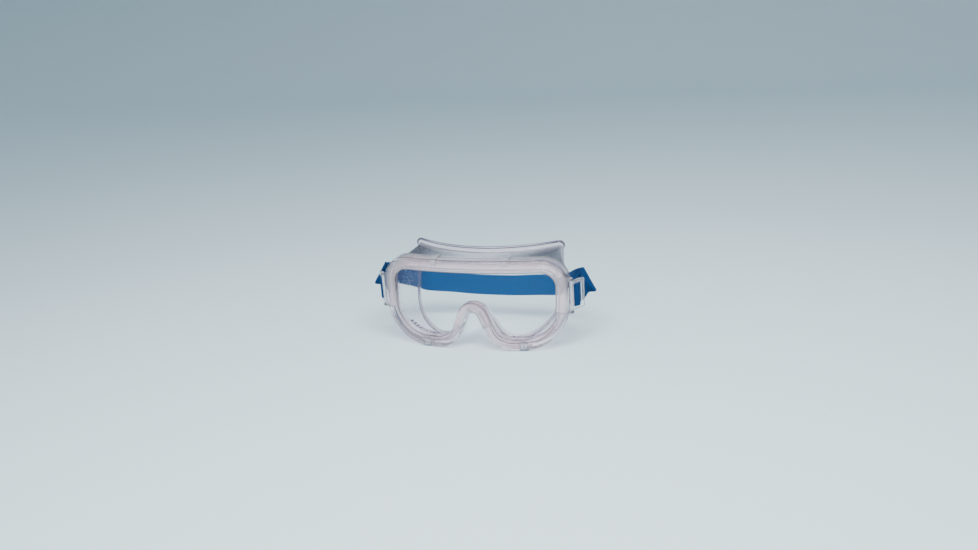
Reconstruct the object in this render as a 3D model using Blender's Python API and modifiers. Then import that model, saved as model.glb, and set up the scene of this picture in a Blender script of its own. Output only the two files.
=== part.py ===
"""Safety goggles: a soft clear body that seals on the face, a curved lens held in its rim, hard clear
covers over the rim, and an elastic headband threaded through two hinged clips.

The goggles stand on a surface at z = 0 and look along -Y, with the wearer's right eye at -X. Sizes are
in millimetres, and MM turns them into metres where a mesh is made. "Depth" runs back from the front of
the covers.
"""

import math

import bmesh
import bpy
from mathutils import Matrix, Vector

MM = 0.001

# Driving dimensions of the front, seen square on
RIM_HALF_WIDTH = 84.9
RIM_TOP = 83.0
RIM_BOTTOM = 2.0
RIM_TOP_RADIUS = 23.0
RIM_LOWER_RADIUS = 40.0
LOBE_RADIUS = 23.4
LOBE_CORNER_X = 19.8
NOSE_PEAK = 49.7
NOSE_RADIUS = 7.1
WRAP_SAG = 13.0
WRAP_HALF_WIDTH = 86.0

# The face side of the skirt, at the edge where its wall meets the sealing lip
FACE_HALF_WIDTH = 71.0
FACE_TOP = 80.8
FACE_BOTTOM = 5.2
FACE_TOP_RADIUS = 3.0
FACE_LOWER_RADIUS = 35.0
FACE_LOBE_RADIUS = 21.0
FACE_LOBE_CORNER_X = 25.3
FACE_NOSE_PEAK = 52.5
FACE_NOSE_RADIUS = 12.0
TEMPLE_DEPTH = 67.0
FOREHEAD_DEPTH = 40.0
CHEEK_DEPTH = 46.0
NOSE_DEPTH = 17.5
NOSE_SHADE = 50.0
WALL = 1.8
WALL_REACH = 0.4
WALL_STATIONS = (0.25, 0.5, 0.75)
LIP_SIDE = 1.2
LIP_TOP = 5.5
LIP_BOTTOM = 3.5
LIP_SLOPE = 1.8
LIP_BACK = 3.0
LIP_BEND = 0.33
LIP_BEND_RISE = 0.6

# The rim's cross-section: offsets are outward from its outer edge, depths from the covers' front
COVER_FRONT = 1.7
COVER_SIDE = 1.8
GAP = 0.3
RIM_FRONT = COVER_FRONT + GAP
RIM_BACK = 12.7
RIM_BAND = 9.6
LOBE_BAND = 8.4
NOSE_BAND = 7.2
BAND_FADE = 8.0
NOSE_REACH = 24.0
BACK_STEP = 0.8
CHAMFER = 0.8
HOOK = 1.3
HOOK_EDGE = -0.8
SWELL = 1.8
SWELL_BAND = 5.6
SWELL_FRONT = 0.1
BITE = 0.5
GROOVE_FLOOR = 2.2
GROOVE_FRONT = 5.8
GROOVE_BACK = 8.4
LENS_INSET = 2.8
LENS_THICKNESS = 2.0
LENS_STRIP = 9.0
WALL_INSET = 1.5

# Small parts
LOBE_CLIP_X = 46.0
LOBE_CLIP_HALF_WIDTH = 3.3
LOBE_CLIP_WALL = 1.7
LOBE_CLIP_LEG = 6.8
LOBE_CLIP_ROOM = 1.2
TOP_CLIP_X = 33.0
TOP_CLIP_HALF_WIDTH = 2.5
TOP_CLIP_WALL = 0.8
TOP_CLIP_LEG = 2.4
PEG_X = 56.0
PEG_DEPTH = 10.2
PEG_RADIUS = 1.2
PEG_LENGTH = 4.6
PEG_HEAD = 0.4
PEG_SIDES = 10
SEAM_TURN = math.radians(10)
NOSE_SEAM_Z = 22.5
VENT_RADIUS = 1.2
VENT_PITCH = 3.9
VENT_DEPTH = 18.6
VENTS_INSIDE = 4
VENTS_OUTSIDE = 8
VENT_LENGTH = 7.0
VENT_SIDES = 8

# Strap clips: u runs out from the hinge axis, v towards the clip's outer face
HINGE_X = 88.9
HINGE_DEPTH = 15.5
CLIP_Z = 51.0
CLIP_ANGLE = math.radians(58)
CLIP_HALF_HEIGHT = 13.6
CLIP_LENGTH = 15.8
CLIP_THICKNESS = 2.4
BARREL_RADIUS = 1.6
SLOT_HALF_HEIGHT = 10.9
SLOTS = ((2.1, 5.7), (7.7, 13.3))
PIN_RADIUS = 0.65
PIN_HOLE_RADIUS = 0.95
PIN_HEAD_RADIUS = 1.4
LUG_HEIGHT = 2.0
LUG_RADIUS = 2.0
LUG_GAP = 0.4
LUG_SIDES = 16
WEB_STEP = 0.05
WEB_FRONT = 1.6
WEB_BACK = 2.2
PIN_HEAD = 0.8
PIN_SIDES = 12
MERGE = 0.01

# Headband
STRAP_WIDTH = 21.0
STRAP_THICKNESS = 1.0
BAND_END_X = 70.0
FOLD_REACH = 0.9

DEPTH = 78.05
FRONT_Y = -DEPTH / 2

SIDES = ((-1, "left"), (1, "right"))

COLOURS = {
    "soft_pvc": ((0.80, 0.78, 0.82), 0.25, 0.0, 0.35),
    "clear_polycarbonate": ((0.92, 0.95, 0.96), 0.04, 0.0, 0.15),
    "cover_plastic": ((0.84, 0.76, 0.80), 0.08, 0.0, 0.40),
    "clip_plastic": ((0.86, 0.88, 0.92), 0.08, 0.0, 0.40),
    "steel": ((0.70, 0.70, 0.72), 0.25, 1.0, 1.0),
    "elastic_webbing": ((0.02, 0.16, 0.46), 0.85, 0.0, 1.0),
}


def clear_scene():
    for obj in list(bpy.data.objects):
        bpy.data.objects.remove(obj)


def collection(name, shown=True):
    made = bpy.data.collections.new(name)
    bpy.context.scene.collection.children.link(made)
    made.hide_render = not shown
    return made


def material(name):
    colour, roughness, metallic, alpha = COLOURS[name]
    made = bpy.data.materials.new(name)
    made.use_nodes = True
    shader = made.node_tree.nodes["Principled BSDF"]
    shader.inputs["Base Color"].default_value = (*colour, 1.0)
    shader.inputs["Roughness"].default_value = roughness
    shader.inputs["Metallic"].default_value = metallic
    shader.inputs["Alpha"].default_value = alpha
    return made


def object_from(name, bm, group, look=None):
    """A new object from a bmesh that holds millimetres."""
    bmesh.ops.scale(bm, vec=(MM, MM, MM), verts=bm.verts)
    bmesh.ops.recalc_face_normals(bm, faces=bm.faces)
    mesh = bpy.data.meshes.new(name)
    bm.to_mesh(mesh)
    bm.free()
    made = bpy.data.objects.new(name, mesh)
    group.objects.link(made)
    if look is None:
        made.hide_render = True
        made.display_type = "WIRE"
    else:
        mesh.materials.append(look)
        mesh.shade_smooth()
        mesh.set_sharp_from_angle(angle=math.radians(35))
    return made


def cut(target, cutter, operation="DIFFERENCE"):
    modifier = target.modifiers.new(cutter.name, "BOOLEAN")
    modifier.operation = operation
    modifier.object = cutter
    modifier.solver = "EXACT"


def cylinder_into(bm, centre, axis, radius, length, sides):
    """Adds a capped cylinder about centre, along axis."""
    turn = Vector((0, 0, 1)).rotation_difference(Vector(axis)).to_matrix().to_4x4()
    bmesh.ops.create_cone(
        bm, cap_ends=True, segments=sides, radius1=radius, radius2=radius, depth=length,
        matrix=Matrix.Translation(centre) @ turn,
    )


def box_into(bm, low, high):
    """Adds a box between two opposite corners."""
    low, high = Vector(low), Vector(high)
    size = Matrix.Diagonal((*(high - low), 1))
    bmesh.ops.create_cube(bm, size=1, matrix=Matrix.Translation((low + high) / 2) @ size)


def loft_into(bm, rings, closed):
    """Adds quads between rings of equal length, with flat ends unless the rings close on themselves."""
    made = [[bm.verts.new(point) for point in ring] for ring in rings]
    pairs = list(zip(made, made[1:] + made[:1])) if closed else list(zip(made, made[1:]))
    for ring, following in pairs:
        for k in range(len(ring)):
            bm.faces.new((ring[k - 1], ring[k], following[k], following[k - 1]))
    if not closed:
        bm.faces.new(made[0])
        bm.faces.new(made[-1])


# ---------------------------------------------------------------- outlines


def turned(vector, angle):
    cosine, sine = math.cos(angle), math.sin(angle)
    return Vector((vector.x * cosine - vector.y * sine, vector.x * sine + vector.y * cosine))


def rounded_outline(corners):
    """Points and outward normals round a closed polygon of (x, z, radius, arc steps, line steps after it).
    The corners go counterclockwise. Two outlines with the same steps match point for point."""
    arcs = []
    for k, (x, z, radius, steps, line_steps) in enumerate(corners):
        here = Vector((x, z))
        before = Vector(corners[k - 1][:2])
        after = Vector(corners[(k + 1) % len(corners)][:2])
        inbound, outbound = (here - before).normalized(), (after - here).normalized()
        bend = math.atan2(inbound.cross(outbound), inbound.dot(outbound))
        start = here - inbound * radius * math.tan(abs(bend) / 2)
        centre = start + Vector((-inbound.y, inbound.x)) * math.copysign(radius, bend)
        outward = Vector((inbound.y, -inbound.x))
        turns = [bend * step / steps for step in range(steps + 1)]
        arc = [(centre + turned(start - centre, turn), turned(outward, turn)) for turn in turns]
        arcs.append((arc, line_steps))
    outline = []
    for k, (arc, line_steps) in enumerate(arcs):
        outline += arc
        (end, normal), (onward, _) = arc[-1], arcs[(k + 1) % len(arcs)][0][0]
        outline += [(end.lerp(onward, step / line_steps), normal) for step in range(1, line_steps)]
    return outline


def goggle_outline(
    half_width, top, bottom, top_radius, lower_radius, lobe_x, lobe_radius, peak, nose_radius
):
    """The wide top, the two lobes and the nose notch between them, from the upper left corner on."""
    left = [
        (-half_width, top, top_radius, 6, 1),
        (-half_width, bottom, lower_radius, 9, 1),
        (-lobe_x, bottom, lobe_radius, 6, 3),
    ]
    right = [
        (lobe_x, bottom, lobe_radius, 6, 1),
        (half_width, bottom, lower_radius, 9, 1),
        (half_width, top, top_radius, 6, 12),
    ]
    return rounded_outline([*left, (0, peak, nose_radius, 8, 3), *right])


RIM = goggle_outline(
    RIM_HALF_WIDTH, RIM_TOP, RIM_BOTTOM, RIM_TOP_RADIUS, RIM_LOWER_RADIUS,
    LOBE_CORNER_X, LOBE_RADIUS, NOSE_PEAK, NOSE_RADIUS,
)
FACE = goggle_outline(
    FACE_HALF_WIDTH, FACE_TOP, FACE_BOTTOM, FACE_TOP_RADIUS, FACE_LOWER_RADIUS,
    FACE_LOBE_CORNER_X, FACE_LOBE_RADIUS, FACE_NOSE_PEAK, FACE_NOSE_RADIUS,
)


def stretch(wanted, first, last):
    """The rim's places from the one nearest to first to the one nearest to last, in the outline's order.
    Only points that wanted accepts may be chosen as an end."""
    def nearest(target):
        choices = [k for k, (point, _) in enumerate(RIM) if wanted(point)]
        return min(choices, key=lambda k: (RIM[k][0] - Vector(target)).length)

    start, end = nearest(first), nearest(last)
    if end < start:
        end += len(RIM)
    return [RIM[k % len(RIM)] for k in range(start, end + 1)]


def lobe_places(side):
    """The rim's places round one lobe, from the nose outwards."""
    below = RIM_TOP - RIM_TOP_RADIUS
    places = [(p, normal) for p, normal in RIM if p.x * side > NOSE_RADIUS and p.y < below]
    return places if side > 0 else places[::-1]


def lobe_distances(side):
    """How far each of the lobe's places is from its foot along the outline, negative towards the nose."""
    points = [point for point, _ in lobe_places(side)]
    travelled = [0.0]
    for here, following in zip(points, points[1:]):
        travelled.append(travelled[-1] + (following - here).length)
    foot = Vector((side * (RIM_HALF_WIDTH - RIM_LOWER_RADIUS), RIM_BOTTOM))
    at_foot = travelled[min(range(len(points)), key=lambda k: (points[k] - foot).length)]
    return [distance - at_foot for distance in travelled]


def walk(side, distance):
    """The place at this distance from the lobe's foot, outward if positive."""
    places, distances = lobe_places(side), lobe_distances(side)
    k = max(k for k in range(len(places) - 1) if distances[k] <= distance)
    share = (distance - distances[k]) / (distances[k + 1] - distances[k])
    (here, normal), (following, next_normal) = places[k], places[k + 1]
    return here.lerp(following, share), normal.lerp(next_normal, share).normalized()


def lobe_run(side, start, end):
    """The places of one lobe between two distances from its foot."""
    between = [p for p, d in zip(lobe_places(side), lobe_distances(side)) if start < d < end]
    return [walk(side, start), *between, walk(side, end)]


def distance_to(side, x, z):
    """The distance from the lobe's foot to its place nearest to (x, z)."""
    target = Vector((side * x, z))
    pairs = zip(lobe_places(side), lobe_distances(side))
    return min(pairs, key=lambda pair: (pair[0][0] - target).length)[1]


# ---------------------------------------------------------------- the front's shape


def sag(x):
    """How far the wrapped front has fallen back at this distance from the middle."""
    return WRAP_SAG * (x / WRAP_HALF_WIDTH) ** 2


def on_rim(place, outward, depth):
    """A point given by its offset from the rim's outer edge and its depth behind the wrapped front."""
    point, normal = place
    flat = point + normal * outward
    return Vector((flat.x, FRONT_Y + sag(flat.x) + depth, flat.y))


def face_depth(x, z):
    """The depth of the edge that follows the face: most at the temples, less at brow, cheeks and nose."""
    spread = (x / FACE_HALF_WIDTH) ** 2
    brow = FOREHEAD_DEPTH + (TEMPLE_DEPTH - FOREHEAD_DEPTH) * spread
    cheek = NOSE_DEPTH + (CHEEK_DEPTH - NOSE_DEPTH) * spread
    low = NOSE_SHADE * (1 - abs(x) / FACE_HALF_WIDTH)
    share = min(max((z - low) / (FACE_TOP - low), 0), 1)
    return cheek + (brow - cheek) * share * share * (3 - 2 * share)


def lip_width(normal):
    """The lip's width beyond the wall: widest over the forehead, least at the temples."""
    wanted = LIP_TOP if normal.y > 0 else LIP_BOTTOM
    return LIP_SIDE + (wanted - LIP_SIDE) * abs(normal.y)


def band_width(point):
    """How far the rim reaches in over the lens at this point: most on top, least at the nose."""
    if point.y > RIM_TOP - RIM_TOP_RADIUS:
        return RIM_BAND
    low = min(max((side_seam()[1] - point.y) / BAND_FADE, 0), 1)
    near_nose = min(max((NOSE_REACH - abs(point.x)) / BAND_FADE, 0), 1)
    width = RIM_BAND + (LOBE_BAND - RIM_BAND) * low
    return width + (NOSE_BAND - width) * near_nose


def side_seam():
    """Where the upper cover ends on the right-hand side, as (x, z)."""
    x = RIM_HALF_WIDTH - RIM_LOWER_RADIUS * (1 - math.cos(SEAM_TURN))
    return x, RIM_BOTTOM + RIM_LOWER_RADIUS * (1 - math.sin(SEAM_TURN))


def nose_seam():
    """Where the nose cover ends on the right-hand flank, as (x, z)."""
    return (NOSE_PEAK - NOSE_SEAM_Z) * LOBE_CORNER_X / (NOSE_PEAK - RIM_BOTTOM), NOSE_SEAM_Z


def body_section(rim_place, face_place):
    """One closed slice through the soft body: rim, wall, lip, the wall's inside and the lens groove."""
    edge, normal = face_place
    depth = face_depth(edge.x, edge.y)
    lip = lip_width(normal)
    band = band_width(rim_place[0])

    def at_face(outward, more):
        flat = edge + normal * outward
        return Vector((flat.x, FRONT_Y + depth + more, flat.y))

    def wall(share, inset):
        start = on_rim(rim_place, -WALL_INSET - inset, RIM_BACK + GAP)
        end = at_face(-inset, 0)
        reach = (end.y - start.y) * WALL_REACH
        bends = (start, start + Vector((0, reach, 0)), end - Vector((0, reach, 0)), end)
        weights = ((1 - share) ** 3, 3 * share * (1 - share) ** 2, 3 * share**2 * (1 - share), share**3)
        return sum((bend * weight for bend, weight in zip(bends, weights)), Vector())

    return [
        on_rim(rim_place, 0, RIM_FRONT + CHAMFER),
        on_rim(rim_place, 0, RIM_BACK),
        *(wall(share, 0) for share in (0, *WALL_STATIONS, 1)),
        at_face(lip * LIP_BEND, LIP_SLOPE * LIP_BEND_RISE),
        at_face(lip, LIP_SLOPE),
        at_face(lip, LIP_BACK),
        at_face(-WALL, LIP_SLOPE),
        *(wall(share, WALL) for share in (*reversed(WALL_STATIONS), 0)),
        on_rim(rim_place, BACK_STEP - band, RIM_BACK),
        on_rim(rim_place, BACK_STEP - band, GROOVE_BACK),
        on_rim(rim_place, -GROOVE_FLOOR, GROOVE_BACK),
        on_rim(rim_place, -GROOVE_FLOOR, GROOVE_FRONT),
        on_rim(rim_place, -band, GROOVE_FRONT),
        on_rim(rim_place, -band, RIM_FRONT + CHAMFER),
        on_rim(rim_place, CHAMFER - band, RIM_FRONT),
        on_rim(rim_place, -CHAMFER, RIM_FRONT),
    ]


def cover_section(place):
    """A slice through a cover: its front plate, its outer wall, and the hook behind the rim's back edge."""
    outer = GAP + COVER_SIDE
    inner = GAP - band_width(place[0])
    back = RIM_BACK + GAP
    corners = [
        (inner, COVER_FRONT), (inner, CHAMFER), (inner + CHAMFER, 0), (outer - 2 * CHAMFER, 0),
        (outer - CHAMFER / 2, CHAMFER / 2), (outer, 2 * CHAMFER), (outer, back + HOOK),
        (HOOK_EDGE, back + HOOK), (HOOK_EDGE, back), (GAP, back), (GAP, COVER_FRONT),
    ]
    return [on_rim(place, outward, depth) for outward, depth in corners]


def swell_section(place):
    """A slice through the bare rim's thicker skin, which is flush with the covers and joins the body."""
    corners = [
        (-SWELL_BAND, RIM_FRONT + BITE), (-SWELL_BAND, CHAMFER), (CHAMFER - SWELL_BAND, SWELL_FRONT),
        (SWELL - CHAMFER, SWELL_FRONT), (SWELL, CHAMFER), (SWELL, RIM_BACK + HOOK),
        (-BITE, RIM_BACK + HOOK), (-BITE, RIM_FRONT + BITE),
    ]
    return [on_rim(place, outward, depth) for outward, depth in corners]


def clip_section(inner, leg, wall, front, back):
    """A clip's C as (outward, depth) corners: it fits round inner, front and back, with this front leg."""
    return [
        (-leg, front), (-leg, front - wall), (inner + wall, front - wall), (inner + wall, back + wall),
        (HOOK_EDGE, back + wall), (HOOK_EDGE, back), (inner, back), (inner, front),
    ]


# ---------------------------------------------------------------- parts on the frame


def soft_body(parts, cutters, looks):
    bm = bmesh.new()
    loft_into(bm, [body_section(rim, face) for rim, face in zip(RIM, FACE)], closed=True)
    body = object_from("soft_body", bm, parts, looks["soft_pvc"])
    for side, name in SIDES:
        inner_end, outer_end = distance_to(side, *nose_seam()), distance_to(side, *side_seam())
        middle = LOBE_CLIP_X - RIM_HALF_WIDTH + RIM_LOWER_RADIUS
        half = LOBE_CLIP_HALF_WIDTH + LOBE_CLIP_ROOM
        for start, end in ((inner_end + GAP, middle - half), (middle + half, outer_end - GAP)):
            swell = bmesh.new()
            places = lobe_run(side, start, end)
            loft_into(swell, [swell_section(place) for place in places], closed=False)
            cut(body, object_from(f"swell_{name}", swell, cutters), "UNION")
    holes = bmesh.new()
    for side, _ in SIDES:
        for step in range(-VENTS_INSIDE, VENTS_OUTSIDE + 1):
            place = walk(side, step * VENT_PITCH)
            centre = on_rim(place, -WALL_INSET - WALL / 2, VENT_DEPTH)
            cylinder_into(holes, centre, (place[1].x, 0, place[1].y), VENT_RADIUS, VENT_LENGTH, VENT_SIDES)
    cut(body, object_from("vent_cutter", holes, cutters))
    return body


def lens(parts, looks):
    """One bent sheet in the rim's groove: its outline filled, split into strips, wrapped, thickened."""
    bm = bmesh.new()
    edge = [point - normal * LENS_INSET for point, normal in RIM]
    bm.faces.new([bm.verts.new((point.x, 0, point.y)) for point in edge])
    count = math.ceil(RIM_HALF_WIDTH / LENS_STRIP)
    for k in range(-count, count):
        everything = [*bm.verts, *bm.edges, *bm.faces]
        seam = Vector(((k + 0.5) * LENS_STRIP, 0, 0))
        bmesh.ops.bisect_plane(bm, geom=everything, plane_co=seam, plane_no=(1, 0, 0))
    bmesh.ops.triangulate(bm, faces=bm.faces)
    for vert in bm.verts:
        vert.co.y = FRONT_Y + sag(vert.co.x) + (GROOVE_FRONT + GROOVE_BACK) / 2
    sheet = object_from("lens", bm, parts, looks["clear_polycarbonate"])
    thickness = sheet.modifiers.new("thickness", "SOLIDIFY")
    thickness.thickness = LENS_THICKNESS * MM
    thickness.offset = 0
    return sheet


def peg_place(side):
    """The middle of a peg's head, on top of the upper cover."""
    return Vector((side * PEG_X, FRONT_Y + sag(PEG_X) + PEG_DEPTH, RIM_TOP + GAP + COVER_SIDE))


def peg_holes(cutters):
    bm = bmesh.new()
    for side, _ in SIDES:
        cylinder_into(bm, peg_place(side), (0, 0, 1), PEG_RADIUS + GAP, 2 * (PEG_LENGTH + GAP), PEG_SIDES)
    return object_from("peg_cutter", bm, cutters)


def top_pegs(parts, looks):
    """Short pegs that pin the upper cover to the top of the rim, each with a chamfered head."""
    profile = ((PEG_RADIUS / 2, PEG_HEAD), (PEG_RADIUS, 0), (PEG_RADIUS, -PEG_LENGTH))
    angles = [2 * math.pi * k / PEG_SIDES for k in range(PEG_SIDES)]
    for side, name in SIDES:
        bm = bmesh.new()
        rings = [
            [peg_place(side) + Vector((radius * math.cos(a), radius * math.sin(a), height)) for a in angles]
            for radius, height in profile
        ]
        loft_into(bm, rings, closed=False)
        object_from(f"top_peg_{name}", bm, parts, looks["cover_plastic"])


def spring_clip(name, section, middle, half_width, edge, up, parts, look):
    """A spring clip that is this section along x, on the rim's flat edge at height edge. Up is the way
    its section's outward side faces, 1 or -1."""
    bm = bmesh.new()
    rings = []
    for x in (middle - half_width, middle + half_width):
        front = FRONT_Y + sag(x)
        rings.append([Vector((x, front + depth, edge + up * outward)) for outward, depth in section])
    loft_into(bm, rings, closed=False)
    object_from(name, bm, parts, look)


def top_clips(parts, looks):
    """Thin spring clips over the upper cover's top edge."""
    inner, back = 2 * GAP + COVER_SIDE, RIM_BACK + 2 * GAP + HOOK
    section = clip_section(inner, TOP_CLIP_LEG, TOP_CLIP_WALL, -GAP, back)
    look = looks["clip_plastic"]
    for side, name in SIDES:
        middle = side * TOP_CLIP_X
        spring_clip(f"top_clip_{name}", section, middle, TOP_CLIP_HALF_WIDTH, RIM_TOP, 1, parts, look)


def hinge_point(side, z):
    return Vector((side * HINGE_X, FRONT_Y + HINGE_DEPTH, z))


def lug_centres():
    """The heights of the two lugs that hold each hinge pin, above and below the clip."""
    reach = CLIP_HALF_HEIGHT + LUG_GAP + LUG_HEIGHT / 2
    return CLIP_Z - reach, CLIP_Z + reach


def rim_side(z):
    """The rim's half width at this height, on its outer side."""
    drop = max(0, RIM_BOTTOM + RIM_LOWER_RADIUS - z) / RIM_LOWER_RADIUS
    rise = max(0, z - RIM_TOP + RIM_TOP_RADIUS) / RIM_TOP_RADIUS
    lower_loss = RIM_LOWER_RADIUS * (1 - math.sqrt(1 - drop * drop))
    upper_loss = RIM_TOP_RADIUS * (1 - math.sqrt(1 - rise * rise))
    return RIM_HALF_WIDTH - lower_loss - upper_loss


def lug_web_into(bm, side, z):
    """A block that joins a hinge lug to the cover's side."""
    start, end = sorted((side * (rim_side(z) + GAP + COVER_SIDE / 2), side * HINGE_X))
    depth = FRONT_Y + HINGE_DEPTH
    half = LUG_HEIGHT / 2 - WEB_STEP
    box_into(bm, (start, depth - WEB_FRONT, z - half), (end, depth + WEB_BACK, z + half))


def upper_cover(parts, cutters, looks, holes):
    """The hard cover from one side seam over the top to the other, with lugs for the clips' hinges."""
    bm = bmesh.new()
    seam_x, seam_z = side_seam()
    places = stretch(lambda p: True, (seam_x, seam_z), (-seam_x, seam_z))
    loft_into(bm, [cover_section(place) for place in places], closed=False)
    cover = object_from("upper_cover", bm, parts, looks["cover_plastic"])
    pins = bmesh.new()
    for side, side_name in SIDES:
        middle, through = hinge_point(side, CLIP_Z), 4 * CLIP_HALF_HEIGHT
        cylinder_into(pins, middle, (0, 0, 1), PIN_HOLE_RADIUS, through, PIN_SIDES)
        for z, level in zip(lug_centres(), ("lower", "upper")):
            web = bmesh.new()
            lug_web_into(web, side, z)
            cut(cover, object_from(f"lug_web_{level}_{side_name}", web, cutters), "UNION")
            eye = bmesh.new()
            cylinder_into(eye, hinge_point(side, z), (0, 0, 1), LUG_RADIUS, LUG_HEIGHT, LUG_SIDES)
            cut(cover, object_from(f"lug_eye_{level}_{side_name}", eye, cutters), "UNION")
    cut(cover, object_from("hinge_cutter", pins, cutters))
    cut(cover, holes)


def nose_cover(parts, looks):
    bm = bmesh.new()
    flank_x, seam_z = nose_seam()
    places = stretch(lambda p: abs(p.x) < LOBE_CORNER_X, (-flank_x, seam_z), (flank_x, seam_z))
    loft_into(bm, [cover_section(place) for place in places], closed=False)
    object_from("nose_cover", bm, parts, looks["cover_plastic"])


def lobe_clips(parts, looks):
    """A spring clip in the gap of the rim's skin at the foot of each lobe. Its flat underside is a foot."""
    section = clip_section(GAP, LOBE_CLIP_LEG, LOBE_CLIP_WALL, RIM_FRONT - GAP, RIM_BACK + GAP)
    look = looks["clip_plastic"]
    for side, name in SIDES:
        middle = side * LOBE_CLIP_X
        spring_clip(f"lobe_clip_{name}", section, middle, LOBE_CLIP_HALF_WIDTH, RIM_BOTTOM, -1, parts, look)


# ---------------------------------------------------------------- clips and headband


def clip_frame(side):
    """Turns (u, v, height) of a strap clip into the goggles' frame."""
    along = Vector((side * math.cos(CLIP_ANGLE), math.sin(CLIP_ANGLE), 0))
    outer = Vector((side * math.sin(CLIP_ANGLE), -math.cos(CLIP_ANGLE), 0))
    origin = hinge_point(side, CLIP_Z)
    return lambda u, v, w: origin + along * u + outer * v + Vector((0, 0, w))


def plate_into(bm, place, u_range, w_range, half_thickness):
    corners = [(u, w) for u in u_range for w in w_range]
    loop = [corners[k] for k in (0, 1, 3, 2)]
    rings = [[place(u, v, w) for u, w in loop] for v in (-half_thickness, half_thickness)]
    loft_into(bm, rings, closed=False)


def strap_clip(side, name, parts, cutters, looks):
    """A three-bar slide: a plate with two slots, whose inner bar is the hinge barrel."""
    place = clip_frame(side)
    half = CLIP_THICKNESS / 2
    hinge, height = hinge_point(side, CLIP_Z), 2 * CLIP_HALF_HEIGHT
    bm = bmesh.new()
    plate_into(bm, place, (0, CLIP_LENGTH), (-CLIP_HALF_HEIGHT, CLIP_HALF_HEIGHT), half)
    clip = object_from(f"strap_clip_{name}", bm, parts, looks["clip_plastic"])
    barrel = bmesh.new()
    cylinder_into(barrel, hinge, (0, 0, 1), BARREL_RADIUS, height, LUG_SIDES)
    cut(clip, object_from(f"barrel_{name}", barrel, cutters), "UNION")
    holes = bmesh.new()
    for start, end in SLOTS:
        plate_into(holes, place, (start, end), (-SLOT_HALF_HEIGHT, SLOT_HALF_HEIGHT), 2 * half)
    cut(clip, object_from(f"slot_cutter_{name}", holes, cutters))
    bore = bmesh.new()
    cylinder_into(bore, hinge, (0, 0, 1), PIN_HOLE_RADIUS, 2 * height, PIN_SIDES)
    cut(clip, object_from(f"bore_cutter_{name}", bore, cutters))


def hinge_pin(side, name, parts, looks):
    low, high = lug_centres()
    low -= LUG_HEIGHT / 2 + GAP
    high += LUG_HEIGHT / 2 + GAP
    lower_half = [
        (0, low - PIN_HEAD), (PIN_HEAD_RADIUS, low - PIN_HEAD), (PIN_HEAD_RADIUS, low), (PIN_RADIUS, low),
    ]
    profile = [*lower_half, *((radius, low + high - z) for radius, z in reversed(lower_half))]
    bm = bmesh.new()
    axis = hinge_point(side, 0)
    verts = [bm.verts.new(axis + Vector((r, 0, z))) for r, z in profile]
    edges = [bm.edges.new(pair) for pair in zip(verts, verts[1:])]
    bmesh.ops.spin(
        bm, geom=[*verts, *edges], cent=axis, axis=(0, 0, 1), angle=2 * math.pi, steps=PIN_SIDES,
        use_merge=True,
    )
    bmesh.ops.remove_doubles(bm, verts=bm.verts, dist=MERGE)
    object_from(f"hinge_pin_{name}", bm, parts, looks["steel"])


def strap_path(side):
    """The strap's stations from its tail, through the clip, round the fold and to the middle of the back:
    each is its centre, and its width's direction, whose length is 1 but for the slanted crease."""
    place = clip_frame(side)
    upright = Vector((0, 0, 1))

    def leaning(degrees):
        inward = place(0, 0, 0) - place(1, 0, 0)
        return inward * math.sin(math.radians(degrees)) + upright * math.cos(math.radians(degrees))

    tail = [
        (place(21.5, -4.5, 8.0), leaning(30)),
        (place(17.0, -4.4, 4.8), leaning(28)),
        (place(12.0, -4.3, 1.8), leaning(15)),
        (place(7.2, -4.1, 0.3), upright),
    ]
    threading = [
        (4.9, -3.3), (4.0, -1.2), (4.0, 0.8), (4.9, 1.95), (6.7, 2.25), (8.4, 1.95), (9.8, 0.7),
        (10.7, -0.8), (11.9, -1.9),
    ]
    outward = [
        (place(14.2, -2.2, 0.8), leaning(9)),
        (place(16.8, -2.1, 2.5), leaning(19)),
        (place(19.8, -2.1, 5.1), leaning(27)),
        (place(22.9, -1.3, 7.9), Vector((side * -0.60, 0.09, 0.98))),
    ]
    end = [*tail, *((place(u, v, 0), upright) for u, v in threading), *outward]

    def behind(x, depth, z):
        return Vector((side * x, FRONT_Y + depth, z))

    fold = [
        (place(24.2, -0.7, 8.9), Vector((side * -0.60, 0.09, 0.99))),
        (place(25.1, -1.3, 9.0), Vector((side * -0.58, 0.09, 0.98))),
        (behind(100.6, 39.2, 59.4), Vector((side * -0.46, 0.08, 0.93))),
        (behind(94.0, 48.0, 56.2), Vector((side * -0.25, 0.05, 0.97))),
        (behind(85.0, 59.5, 50.5), Vector((side * -0.1, 0, 1)).normalized()),
        (behind(77.5, 69.0, 44.6), upright),
    ]
    back = [
        (behind(BAND_END_X, 74.0, 40.2), upright),
        (behind(58.0, 76.4, 38.7), upright),
        (behind(42.0, 77.2, 38.0), upright),
        (behind(22.0, 77.0, 36.8), Vector((0, -0.05, 1)).normalized()),
        (behind(0.0, 76.8, 36.5), Vector((0, -0.07, 1)).normalized()),
    ]
    return end, fold, back


def smooth(stations, steps):
    """Catmull-Rom points through the stations, and the width's direction at each."""
    padded = [stations[0], *stations, stations[-1]]
    made = []
    for a, b, c, d in zip(padded, padded[1:], padded[2:], padded[3:]):
        for step in range(steps):
            t = step / steps
            made.append(tuple(
                0.5 * (2 * b[k] + (c[k] - a[k]) * t + (2 * a[k] - 5 * b[k] + 4 * c[k] - d[k]) * t * t
                       + (3 * b[k] - a[k] - 3 * c[k] + d[k]) * t * t * t)
                for k in (0, 1)
            ))
    return [*made, stations[-1]]


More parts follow.
